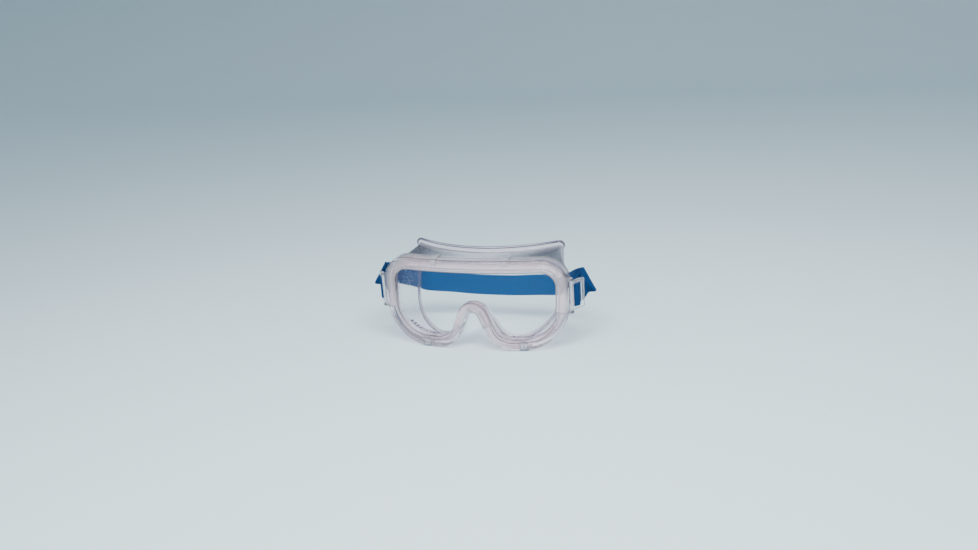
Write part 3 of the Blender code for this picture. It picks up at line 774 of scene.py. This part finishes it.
def side_seam():
    """Where the upper cover ends on the right-hand side, as (x, z)."""
    x = RIM_HALF_WIDTH - RIM_LOWER_RADIUS * (1 - math.cos(SEAM_TURN))
    return x, RIM_BOTTOM + RIM_LOWER_RADIUS * (1 - math.sin(SEAM_TURN))


def nose_seam():
    """Where the nose cover ends on the right-hand flank, as (x, z)."""
    return (NOSE_PEAK - NOSE_SEAM_Z) * LOBE_CORNER_X / (NOSE_PEAK - RIM_BOTTOM), NOSE_SEAM_Z


# ---- the soft body


def painted_corner_shade(face_place, reach, least=0.0):
    """The painted shade that grows towards the upper corners, from x = reach[0] to its full
    at reach[1].
    least is above 0 where the line mustn't vanish, as lined adds points only beside lines."""
    edge, normal = face_place
    start, full = reach
    grown = clamped((abs(edge.x) - start) / (full - start), least)
    return CORNER_SHADE * grown * max(normal.y, least) ** 0.5


def body_section(rim_place, face_place):
    """One slice through the soft body: rim, wall, lip, the wall's inside and the lens groove."""
    edge, normal = face_place
    depth = face_depth(edge.x, edge.y)
    lip = lip_width(normal)
    band = band_width(rim_place[0])
    at_rim = partial(on_rim, rim_place)

    def at_face(outward, more):
        flat = edge + normal * outward
        return Vector((flat.x, FRONT_Y + depth + more, flat.y))

    def wall(share, inset):
        start = at_rim(-WALL_INSET - inset, RIM_BACK + GAP)
        end = at_face(-inset, 0)
        bend = Vector((0, (end.y - start.y) * WALL_REACH, 0))
        rest = 1 - share
        near = start * rest**3 + (start + bend) * (3 * share * rest**2)
        return near + (end - bend) * (3 * share**2 * rest) + end * share**3

    def walls(shares, inset):
        # Painted shade along the wall, growing towards the upper corners
        line = painted_corner_shade(face_place, WALL_SHADE_X)
        frosts = [min(1, FROST_RISE * share, FROST_RISE * (1 - share)) for share in shares]
        return [(wall(share, inset), 0, line, frost) for share, frost in zip(shares, frosts)]

    recess = RIM_FRONT + RECESS_DEPTH
    step = BACK_STEP - band
    outer_rim = [
        ((-band, RIM_FRONT + 0.5), 0.5, 0.9), ((RECESS_INNER - 0.4 - band, RIM_FRONT), 0.4, 0),
        ((RECESS_INNER - band, recess), 0.2, 0), ((-RECESS_OUTER, recess), 0.2, 0),
        ((0.3 - RECESS_OUTER, RIM_FRONT), 0.2, 0), ((0, RIM_FRONT), 0.8, 0.4),
        ((0, RIM_BACK), 0.6, 0.4), ((-WALL_INSET, RIM_BACK), 0.35, 0.5),
    ]
    size = min(lip / 3, 1)
    # Painted shade on the lip's corners, growing towards the upper corners
    lip_shade = painted_corner_shade(face_place, LIP_SHADE_X, LEAST_MARK)
    face_lip = [
        ((0.5 * size, 0.2), 0.4 * size, 1.0), ((0.7 * size, 0.9), 0.3 * size, lip_shade),
        ((lip - 1.3 * size, 1.4), 0.6 * size, 1.0), ((lip - 0.7 * size, 0.7), 0.6 * size, lip_shade),
        ((lip, 1.4), 0.6 * size, 1.0), ((lip, 3.0), 0.6 * size, 1.0),
        ((lip - 0.9 * size, 3.0), 0.4 * size, lip_shade), ((0.6 * size, 2.6), 0.8 * size, 0),
        ((-0.6, 3.0), 0.7, 0), ((-WALL, 1.9), 0.5, 0.9),
    ]
    inner_rim = [
        ((step, RIM_BACK - 0.6), 0.6, 0.9), ((step, GROOVE_BACK), 0.3, 0.5),
        ((-GROOVE_FLOOR, GROOVE_BACK), 0.3, 0), ((-GROOVE_FLOOR, GROOVE_FRONT), 0.3, 0),
        ((-band, GROOVE_FRONT), 0.3, 0.5),
    ]
    shares = [k / WALL_STEPS for k in range(1, WALL_STEPS)]
    return lined([
        *clear_corners(at_rim, outer_rim), *walls(shares, 0),
        *clear_corners(at_face, face_lip), *walls(shares[::-1], WALL),
        *clear_corners(at_rim, inner_rim),
    ])


def swell_section(place):
    """A slice through the bare rim's thicker skin, which stands flush with the covers and joins
    the body."""
    back = RIM_BACK + HOOK
    corners = [
        ((-SWELL_BAND, RIM_FRONT + BITE), 0, 0), ((-SWELL_BAND, 0.9), 0.5, 0.9),
        ((0.9 - SWELL_BAND, SWELL_FRONT), 0.4, 0), ((SWELL - 0.9, SWELL_FRONT), 0.8, 0),
        ((SWELL, 1.2), 0.9, 0.8), ((SWELL, back), 0.6, 0.25),
        ((-BITE, back), 0.3, 0), ((-BITE, RIM_FRONT + BITE), 0, 0),
    ]
    return lined(clear_corners(partial(on_rim, place), corners))


def swells():
    """The skin's four runs, from each seam to the clip at the lobe's foot."""
    middle = LOBE_CLIP_X - RIM_HALF_WIDTH + RIM_LOWER_RADIUS
    half = LOBE_CLIP_HALF_WIDTH + LOBE_CLIP_ROOM
    for side, _ in SIDES:
        inner_end = distance_to(side, *nose_seam()) + GAP
        outer_end = distance_to(side, *side_seam()) - GAP
        for start, end in ((inner_end, middle - half), (middle + half, outer_end)):
            places = with_short_ends(lobe_run(side, start, end))
            yield lined_loft("swell", [swell_section(place) for place in places], False)


def vent_holes():
    bm = bmesh.new()
    for side, _ in SIDES:
        for step in range(-VENTS_INSIDE, VENTS_OUTSIDE + 1):
            place = walk(side, step * VENT_PITCH)
            centre = on_rim(place, -WALL_INSET - WALL / 2, VENT_DEPTH)
            axis = (place[1].x, 0, place[1].y)
            cylinder_into(bm, centre, axis, VENT_RADIUS, VENT_LENGTH, VENT_SIDES)
    return object_from("vent_cutter", bm)


def soft_body():
    sections = [
        [(*values, run) for values in body_section(rim_place, face_place)]
        for rim_place, face_place, run in zip(RIM, FACE, lobe_runs())
    ]
    body = lined_loft("clear_soft_body", sections, True)
    skins = list(swells())
    marks = marks_of([body, *skins])
    for skin in skins:
        boolean(body, skin, "UNION")
    boolean(body, vent_holes())
    boolean(body, peg_holes())
    body = settled(body, 50)
    restore_marks(body, marks)
    return piece(body, "soft_pvc", "soft_body")


def lobe_runs():
    """How far each rim place is along the outline from its lobe's foot, outward positive."""
    runs = [0.0] * len(RIM)
    for side, _ in SIDES:
        foot = Vector((side * (RIM_HALF_WIDTH - RIM_LOWER_RADIUS), RIM_BOTTOM))
        start = min(range(len(RIM)), key=lambda k: (RIM[k][0] - foot).length)
        for direction in (-1, 1):
            here, travelled = start, 0.0
            while RIM[(here + direction) % len(RIM)][0].x * side > 0:
                following = (here + direction) % len(RIM)
                travelled += (RIM[following][0] - RIM[here][0]).length
                runs[following] = direction * side * travelled
                here = following
    return runs


# ---- lens and covers


def lens():
    bm = bmesh.new()
    edge = [point - normal * LENS_INSET for point, normal in RIM]
    bm.faces.new([bm.verts.new((point.x, 0, point.y)) for point in edge])
    count = math.ceil(RIM_HALF_WIDTH / LENS_STRIP)
    for k in range(-count, count):
        bmesh.ops.bisect_plane(
            bm, geom=[*bm.verts, *bm.edges, *bm.faces], plane_co=((k + 0.5) * LENS_STRIP, 0, 0),
            plane_no=(1, 0, 0),
        )
    for vert in bm.verts:
        vert.co.y = FRONT_Y + sag(vert.co.x) + (GROOVE_FRONT + GROOVE_BACK) / 2
    bmesh.ops.triangulate(bm, faces=bm.faces)
    sheet = object_from("clear_lens", bm)
    thickness = sheet.modifiers.new("thickness", "SOLIDIFY")
    thickness.thickness = LENS_THICKNESS * MM
    thickness.offset = 0
    return piece(settled(sheet), "clear_polycarbonate", "lens")


def cover_section(place):
    """A slice through a cover: its front, its side and the hook behind the rim."""
    outer = GAP + COVER_SIDE
    inner = GAP - band_width(place[0])
    back = RIM_BACK + GAP
    corners = [
        ((inner, COVER_FRONT), 0.25, 0.8), ((inner, 0.3), 0.4, 0.8), ((inner + 0.9, 0), 0.4, 0),
        ((outer - 1.1, 0.1), 0.5, 0.2), ((outer, 1.4), 0.6, 0.9), ((outer, back + HOOK), 0.6, 0.9),
        ((HOOK_EDGE, back + HOOK), 0.4, 0.6), ((HOOK_EDGE, back), 0.3, 0),
        ((GAP, back), 0.3, 0), ((GAP, COVER_FRONT), 0.3, 0),
    ]
    return lined(clear_corners(partial(on_rim, place), corners))


def cover_shell(name, places):
    return lined_loft(name, [cover_section(place) for place in with_short_ends(places)], False, 0.9)


def soften_ends(made):
    bevel = made.modifiers.new("soft_ends", "BEVEL")
    bevel.width = 0.3 * MM
    bevel.segments = 2
    bevel.limit_method = "ANGLE"
    bevel.angle_limit = math.radians(60)


def peg_place(side):
    """The middle of a peg's head, on top of the upper cover."""
    return Vector((side * PEG_X, FRONT_Y + sag(PEG_X) + PEG_DEPTH, RIM_TOP + GAP + COVER_SIDE))


def peg_holes():
    bm = bmesh.new()
    length = 2 * (PEG_LENGTH + GAP)
    for side, _ in SIDES:
        cylinder_into(bm, peg_place(side), (0, 0, 1), PEG_RADIUS + GAP, length, PEG_HOLE_SIDES)
    return object_from("peg_cutter", bm)


def top_pegs():
    """Short pegs with a domed head in the top of the upper cover."""
    profile = [
        (0, PEG_HEAD), (0.5, PEG_HEAD), (0.85, 0.25), (PEG_RADIUS, -0.1),
        (PEG_RADIUS, 0.3 - PEG_LENGTH), (0.9, -PEG_LENGTH), (0, -PEG_LENGTH),
    ]
    for side, name in SIDES:
        peg = turned_profile(f"clear_top_peg_{name}", profile, peg_place(side))
        piece(peg, "cover_plastic", f"top_peg_{name}")


def clip_corners(inner, leg, wall, front, back):
    """A spring clip's C as ((outward, depth), rounding, line) corners: it fits round inner, front
    and back."""
    bend = wall * 0.7
    return [
        ((-leg, front), 0.15, 0.8), ((-leg, front - wall), wall * 0.45, 0.8),
        ((inner + wall, front - wall), bend, 0.6), ((inner + wall, back + wall), bend, 0.6),
        ((HOOK_EDGE, back + wall), wall * 0.4, 0.6), ((HOOK_EDGE, back), 0.15, 0),
        ((inner, back), 0.3, 0), ((inner, front), 0.3, 0),
    ]


def spring_clip(name, corners, middle, half_width, height):
    """A C-shaped clip, bent round the wrapped front. height(outward) gives a corner's z."""
    def section(x):
        def placed(outward, depth):
            return Vector((x, FRONT_Y + sag(x) + depth, height(outward)))

        return lined(clear_corners(placed, corners), margin=0.2)

    sections = [section(middle + half_width * share) for share in CLIP_SHARES]
    piece(lined_loft(f"clear_{name}", sections, False, 0.8), "clip_plastic", name)


def top_clips():
    """Thin spring clips over the upper cover's top edge."""
    back = RIM_BACK + 2 * GAP + HOOK
    corners = clip_corners(2 * GAP + COVER_SIDE, TOP_CLIP_LEG, TOP_CLIP_WALL, -GAP, back)
    for side, name in SIDES:
        spring_clip(
            f"top_clip_{name}", corners, side * TOP_CLIP_X, TOP_CLIP_HALF_WIDTH,
            lambda outward: RIM_TOP + outward,
        )


def hinge_point(side, z):
    return Vector((side * HINGE_X, FRONT_Y + HINGE_DEPTH, z))


def on_hinges(name, sides, radius, length, segments):
    """A cylinder round the hinge's axis on each of these sides."""
    bm = bmesh.new()
    for side in sides:
        cylinder_into(bm, hinge_point(side, CLIP_Z), (0, 0, 1), radius, length, segments)
    return object_from(name, bm)


def lug_heights():
    reach = CLIP_HALF_HEIGHT + LUG_GAP + LUG_HEIGHT / 2
    return CLIP_Z - reach, CLIP_Z + reach


def upper_cover():
    seam_x, seam_z = side_seam()
    places = stretch(lambda p: True, (seam_x, seam_z), (-seam_x, seam_z))
    cover = cover_shell("clear_upper_cover", places)
    for side, _ in SIDES:
        for z in lug_heights():
            boolean(cover, lug(side, z), "UNION")
    length = 4 * CLIP_HALF_HEIGHT
    boolean(cover, on_hinges("hinge_cutter", (-1, 1), PIN_HOLE_RADIUS, length, PIN_HOLE_SIDES))
    boolean(cover, peg_holes())
    return piece(settled(cover, 50), "cover_plastic", "upper_cover")


def rim_side(z):
    """The rim's half width at this height, on its outer side."""
    drop = max(0, RIM_BOTTOM + RIM_LOWER_RADIUS - z) / RIM_LOWER_RADIUS
    rise = max(0, z - RIM_TOP + RIM_TOP_RADIUS) / RIM_TOP_RADIUS
    lower_loss = RIM_LOWER_RADIUS * (1 - math.sqrt(1 - drop * drop))
    upper_loss = RIM_TOP_RADIUS * (1 - math.sqrt(1 - rise * rise))
    return RIM_HALF_WIDTH - lower_loss - upper_loss


def lug(side, z):
    """An eye for the hinge pin, drawn out towards the cover's side as one rounded tab."""
    inner = rim_side(z) + GAP + COVER_SIDE / 2
    depth = FRONT_Y + HINGE_DEPTH
    shape = []
    for k in range(LUG_STEPS + 1):
        angle = math.pi / 2 - math.pi * k / LUG_STEPS
        shape.append((HINGE_X + LUG_RADIUS * math.cos(angle), depth + LUG_RADIUS * math.sin(angle)))
    shape += [(inner, depth - WEB_FRONT), (inner, depth + WEB_BACK)]
    centre = Vector((HINGE_X - 0.6, depth))
    top = LUG_HEIGHT / 2
    rings = []
    for level, size in (
        (-top, LUG_END_SIZE), (LUG_EDGE - top, 1.0), (top - LUG_EDGE, 1.0), (top, LUG_END_SIZE)
    ):
        flat = [centre + (Vector(point) - centre) * size for point in shape]
        rings.append([Vector((side * point.x, point.y, z + level)) for point in flat])
    bm = bmesh.new()
    loft_into(bm, rings, closed=False)
    return object_from("lug", bm)


def nose_cover():
    flank_x, seam_z = nose_seam()
    places = stretch(lambda p: abs(p.x) < LOBE_CORNER_X, (-flank_x, seam_z), (flank_x, seam_z))
    cover = cover_shell("clear_nose_cover", places)
    soften_ends(cover)
    return piece(settled(cover, 50), "cover_plastic", "nose_cover")


def lobe_clips():
    """A spring clip in the gap of the rim's skin at the foot of each lobe."""
    corners = clip_corners(GAP, LOBE_CLIP_LEG, LOBE_CLIP_WALL, RIM_FRONT - GAP, RIM_BACK + GAP)
    for side, name in SIDES:
        spring_clip(
            f"lobe_clip_{name}", corners, side * LOBE_CLIP_X, LOBE_CLIP_HALF_WIDTH,
            lambda outward: RIM_BOTTOM - outward,
        )


# ---- clips and pins


def clip_frame(side):
    """Turns (u, v, height) of a strap clip into the goggles' frame."""
    along = Vector((side * math.cos(CLIP_ANGLE), math.sin(CLIP_ANGLE), 0))
    outer = Vector((side * math.sin(CLIP_ANGLE), -math.cos(CLIP_ANGLE), 0))
    origin = hinge_point(side, CLIP_Z)
    return lambda u, v, w: origin + along * u + outer * v + Vector((0, 0, w))


def rounded_rectangle(u_range, w_range, radius, steps=6):
    """A loop of (u, w) points with round corners."""
    left, right = u_range[0] + radius, u_range[1] - radius
    low, high = w_range[0] + radius, w_range[1] - radius
    loop = []
    for quarter, (u, w) in enumerate(((right, high), (left, high), (left, low), (right, low))):
        for step in range(steps + 1):
            angle = (quarter + step / steps) * math.pi / 2
            loop.append((u + radius * math.cos(angle), w + radius * math.sin(angle)))
    return loop


def outline_plate(name, loops, half_thickness, edge):
    """A flat plate with rounded edges, from the (u, w) loop round it and those of its holes."""
    curve = bpy.data.curves.new(name, "CURVE")
    curve.dimensions = "2D"
    curve.fill_mode = "BOTH"
    curve.extrude = (half_thickness - edge) * MM
    curve.bevel_depth = edge * MM
    curve.bevel_resolution = 2
    curve.offset = -edge * MM
    for loop in loops:
        spline = curve.splines.new("POLY")
        spline.points.add(len(loop) - 1)
        for point, (u, w) in zip(spline.points, loop):
            point.co = (u * MM, w * MM, 0, 1)
        spline.use_cyclic_u = True
    holder = linked(name, curve)
    mesh = evaluated_mesh(holder)
    bpy.data.objects.remove(holder)
    bm = bmesh.new()
    bm.from_mesh(mesh)
    bmesh.ops.remove_doubles(bm, verts=bm.verts, dist=0.01 * MM)
    bmesh.ops.scale(bm, vec=(1 / MM, 1 / MM, 1 / MM), verts=bm.verts)
    return bm


def strap_clip(side, name):
    place = clip_frame(side)
    slot_height = (-SLOT_HALF_HEIGHT, SLOT_HALF_HEIGHT)
    clip_height = (-CLIP_HALF_HEIGHT, CLIP_HALF_HEIGHT)
    outside = rounded_rectangle((0, CLIP_LENGTH), clip_height, CLIP_CORNER)
    holes = [rounded_rectangle(slot, slot_height, SLOT_CORNER) for slot in SLOTS]
    bm = outline_plate("plate", [outside, *holes], CLIP_THICKNESS / 2, CLIP_EDGE)
    for vert in bm.verts:
        u, w, v = vert.co
        vert.co = place(u, v, w)
    clip = object_from(f"clear_strap_clip_{name}", bm)
    height = 2 * CLIP_HALF_HEIGHT
    boolean(clip, on_hinges("barrel", [side], BARREL_RADIUS, height, BARREL_SIDES), "UNION")
    boolean(clip, on_hinges("bore_cutter", [side], PIN_HOLE_RADIUS, 1.5 * height, PIN_HOLE_SIDES))
    return piece(settled(clip, 40), "clip_plastic", f"strap_clip_{name}", f"{name}_clip")


def hinge_pin(side, name):
    """A straight wire with a domed head beyond each lug."""
    low, high = lug_heights()
    low -= LUG_HEIGHT / 2 + GAP
    high += LUG_HEIGHT / 2 + GAP
    head = [
        (0, PIN_HEAD), (PIN_HEAD_RADIUS * 0.6, PIN_HEAD - 0.06), (PIN_HEAD_RADIUS, PIN_DOME),
        (PIN_HEAD_RADIUS, 0), (PIN_RADIUS, 0),
    ]
    profile = [(r, low - z) for r, z in head] + [(r, high + z) for r, z in reversed(head)]
    made = turned_profile(f"steel_hinge_pin_{name}", profile, hinge_point(side, 0))
    return piece(made, "steel", f"hinge_pin_{name}")


# ---- the headband


def strap_path(side):
    """The strap's stations from its tail, through the clip, round the fold and to the back."""
    place = clip_frame(side)
    upright = Vector((0, 0, 1))

    def leaning(degrees):
        inward = place(0, 0, 0) - place(1, 0, 0)
        return inward * math.sin(math.radians(degrees)) + upright * math.cos(math.radians(degrees))

    def behind(x, depth, z):
        return Vector((side * x, FRONT_Y + depth, z))

    def tilted(x, y, z):
        return Vector((side * x, y, z))

    tail = [
        (place(21.5, -4.5, 8.0), leaning(30)), (place(17.0, -4.4, 4.8), leaning(28)),
        (place(12.0, -4.3, 1.8), leaning(15)), (place(7.2, -4.1, 0.3), upright),
    ]
    threading = [
        (4.9, -3.3), (4.0, -1.2), (4.0, 0.8), (4.9, 1.95), (6.7, 2.25), (8.4, 1.95), (9.8, 0.7),
        (10.7, -0.8), (11.9, -1.9),
    ]
    outward = [
        (place(14.2, -2.2, 0.8), leaning(9)), (place(16.8, -2.1, 2.5), leaning(19)),
        (place(19.8, -2.1, 5.1), leaning(27)),
        (place(22.9, -1.3, 7.9), tilted(-0.60, 0.09, 0.98)),
        (place(24.2, -0.7, 8.9), tilted(-0.60, 0.09, 0.99)),
        (place(25.1, -1.3, 9.0), tilted(-0.58, 0.09, 0.98)),
        (behind(100.6, 39.2, 59.4), tilted(-0.46, 0.08, 0.93)),
        (behind(94.0, 48.0, 56.2), tilted(-0.25, 0.05, 0.97)),
        (behind(85.0, 59.5, 50.5), tilted(-0.1, 0, 1).normalized()),
        (behind(77.5, 69.0, 44.6), upright), (behind(BAND_END_X, 74.0, 40.2), upright),
        (behind(58.0, 76.4, 38.7), upright), (behind(42.0, 77.2, 38.0), upright),
        (behind(22.0, 77.0, 36.8), Vector((0, -0.05, 1)).normalized()),
        (behind(0.0, 76.8, 36.5), Vector((0, -0.07, 1)).normalized()),
    ]
    return [*tail, *((place(u, v, 0), upright) for u, v in threading), *outward]


def smooth(stations, steps):
    """Catmull-Rom points through the stations, and the width's direction at each."""
    padded = [stations[0], *stations, stations[-1]]
    made = []
    for a, b, c, d in zip(padded, padded[1:], padded[2:], padded[3:]):
        for step in range(steps):
            t = step / steps
            made.append(tuple(
                0.5 * (2 * b[k] + (c[k] - a[k]) * t + (2 * a[k] - 5 * b[k] + 4 * c[k] - d[k]) * t * t
                       + (3 * b[k] - a[k] - 3 * c[k] + d[k]) * t * t * t)
                for k in (0, 1)
            ))
    return [*made, stations[-1]]


def strap_section():
    """(across, out) points round the strap: cords stand up from both faces, and the selvedges
    are round."""
    half_width, half = STRAP_WIDTH / 2, STRAP_THICKNESS / 2
    count = STRAP_CORDS * POINTS_PER_CORD
    across = [half_width * (2 * k / count - 1) * SELVEDGE_SHARE for k in range(count + 1)]

    def height(a):
        return half - CORD_RELIEF * (1 + math.cos(2 * math.pi * STRAP_CORDS * a / STRAP_WIDTH)) / 2

    front = [(a, height(a)) for a in across]
    right = [(half_width, SELVEDGE_HALF), (half_width, -SELVEDGE_HALF)]
    back = [(a, -height(a)) for a in reversed(across)]
    left = [(-half_width, -SELVEDGE_HALF), (-half_width, SELVEDGE_HALF)]
    return front + right + back + left


def ribbon(name, stations):
    """A length of webbing along the stations, mapped in millimetres along and across it."""
    section = strap_section()
    rings, lengths, length = [], [], 0.0
    for k, (centre, width) in enumerate(stations):
        before = stations[max(k - 1, 0)][0]
        after = stations[min(k + 1, len(stations) - 1)][0]
        out = (after - before).cross(width).normalized()
        length += (centre - before).length
        lengths.append(length)
        rings.append([centre + width * a + out * o for a, o in section])
    bm = bmesh.new()
    where = bm.loops.layers.uv.new("strap")
    made = loft_into(bm, rings, closed=False)
    spot = {}
    for ring, along in zip(made, lengths):
        for vert, (a, _) in zip(ring, section):
            spot[vert] = (along, a)
    for face in bm.faces:
        for loop in face.loops:
            loop[where].uv = spot[loop.vert]
    return object_from(name, bm, sharp=60)


def headband():
    """Each half runs from its tail to the middle of the back, and bends behind the clip."""
    for side, name in SIDES:
        half = ribbon(f"strap_half_{name}", smooth(strap_path(side), 7))
        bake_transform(half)
        nodes = [f"strap_end_{name}", f"strap_fold_{name}"]
        if name == "left":
            nodes.append("strap_band")
        piece(half, "elastic_webbing", nodes[0], body=None)
        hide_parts(*nodes[1:])


# ---- floor, light and camera


def backdrop():
    """A pale seamless sweep: a floor that turns up behind the goggles."""
    shade = Shade("pale_sweep")
    look = shade.finish(shade.principled({
        "Base Color": shade.mix(shade.noise(3, 3), (0.565, 0.73, 0.785), (0.595, 0.755, 0.81)),
        "Roughness": 0.8,
        "Normal": shade.bump(shade.noise(900, 2), 0.00005),
    }))
    half_width, near, far, rise = 12000.0, -9000.0, 2600.0, 2600.0
    bend, bend_steps = 900.0, 24
    profile = [(near, 0.0), (far - bend, 0.0)]
    for step in range(1, bend_steps + 1):
        angle = math.pi / 2 * step / bend_steps
        profile.append((far - bend + bend * math.sin(angle), bend * (1 - math.cos(angle))))
    profile.append((far, rise))
    bm = bmesh.new()
    left, right = ([bm.verts.new((x, y, z)) for y, z in profile] for x in (-half_width, half_width))
    for k in range(len(profile) - 1):
        bm.faces.new((left[k], right[k], right[k + 1], left[k + 1]))
    sweep = object_from("sweep", bm)
    sweep.data.materials.append(look)


def area_light(name, place, target, size, power, colour):
    data = bpy.data.lights.new(name, "AREA")
    data.shape = "RECTANGLE"
    data.size, data.size_y = size
    data.energy = power
    data.color = colour
    lamp = linked(name, data)
    lamp.location = place
    lamp.rotation_euler = (Vector(target) - Vector(place)).to_track_quat("-Z", "Y").to_euler()


def lights():
    """A bright ceiling over dark walls that draw the clear plastic's outlines, and two lamps."""
    world = bpy.data.worlds.new("studio")
    bpy.context.scene.world = world
    world.use_nodes = True
    tree = world.node_tree
    where = tree.nodes.new("ShaderNodeTexCoord")
    split = tree.nodes.new("ShaderNodeSeparateXYZ")
    strength = tree.nodes.new("ShaderNodeMapRange")
    wall_to_ceiling = {"From Min": 0.25, "From Max": 0.75, "To Min": 0.04, "To Max": 1.0}
    for socket, value in wall_to_ceiling.items():
        strength.inputs[socket].default_value = value
    tree.links.new(where.outputs["Generated"], split.inputs[0])
    tree.links.new(split.outputs["Z"], strength.inputs["Value"])
    background = tree.nodes["Background"]
    background.inputs["Color"].default_value = (0.78, 0.88, 1.0, 1)
    tree.links.new(strength.outputs["Result"], background.inputs["Strength"])
    area_light(
        "softbox", place=(0.18, -0.50, 0.85), target=(0, 0, 0.02), size=(0.9, 0.5), power=21,
        colour=(1.0, 0.99, 0.97),
    )
    area_light(
        "front_fill", place=(-0.4, -1.2, 0.6), target=(0, 0, 0.04), size=(0.6, 0.4), power=1,
        colour=(1.0, 0.99, 0.98),
    )


def camera():
    """The photographer's view: from the goggles' left and above, with a slight roll."""
    azimuth, elevation, roll = math.radians(17.47), math.radians(18.53), math.radians(-3.91)
    flat = math.cos(elevation)
    back = Vector((math.sin(azimuth) * flat, -math.cos(azimuth) * flat, math.sin(elevation)))
    level = Vector((math.cos(azimuth), math.sin(azimuth), 0))
    upward = back.cross(level)
    right = level * math.cos(roll) + upward * math.sin(roll)
    up = upward * math.cos(roll) - level * math.sin(roll)
    turn = Matrix((right, up, back)).transposed().to_4x4()
    place = Vector((239.8, FRONT_Y - 699.9, 317.9)) * MM
    data = bpy.data.cameras.new("camera")
    data.sensor_width = 36
    data.lens = 32.42
    data.shift_x = -0.0005
    data.shift_y = 0.0015
    eye = linked("camera", data)
    eye.matrix_world = Matrix.Translation(place) @ turn
    bpy.context.scene.camera = eye


camera()
backdrop()
lights()
soft_body()
lens()
upper_cover()
nose_cover()
lobe_clips()
top_clips()
top_pegs()
for side, name in SIDES:
    strap_clip(side, name)
    hinge_pin(side, name)
headband()
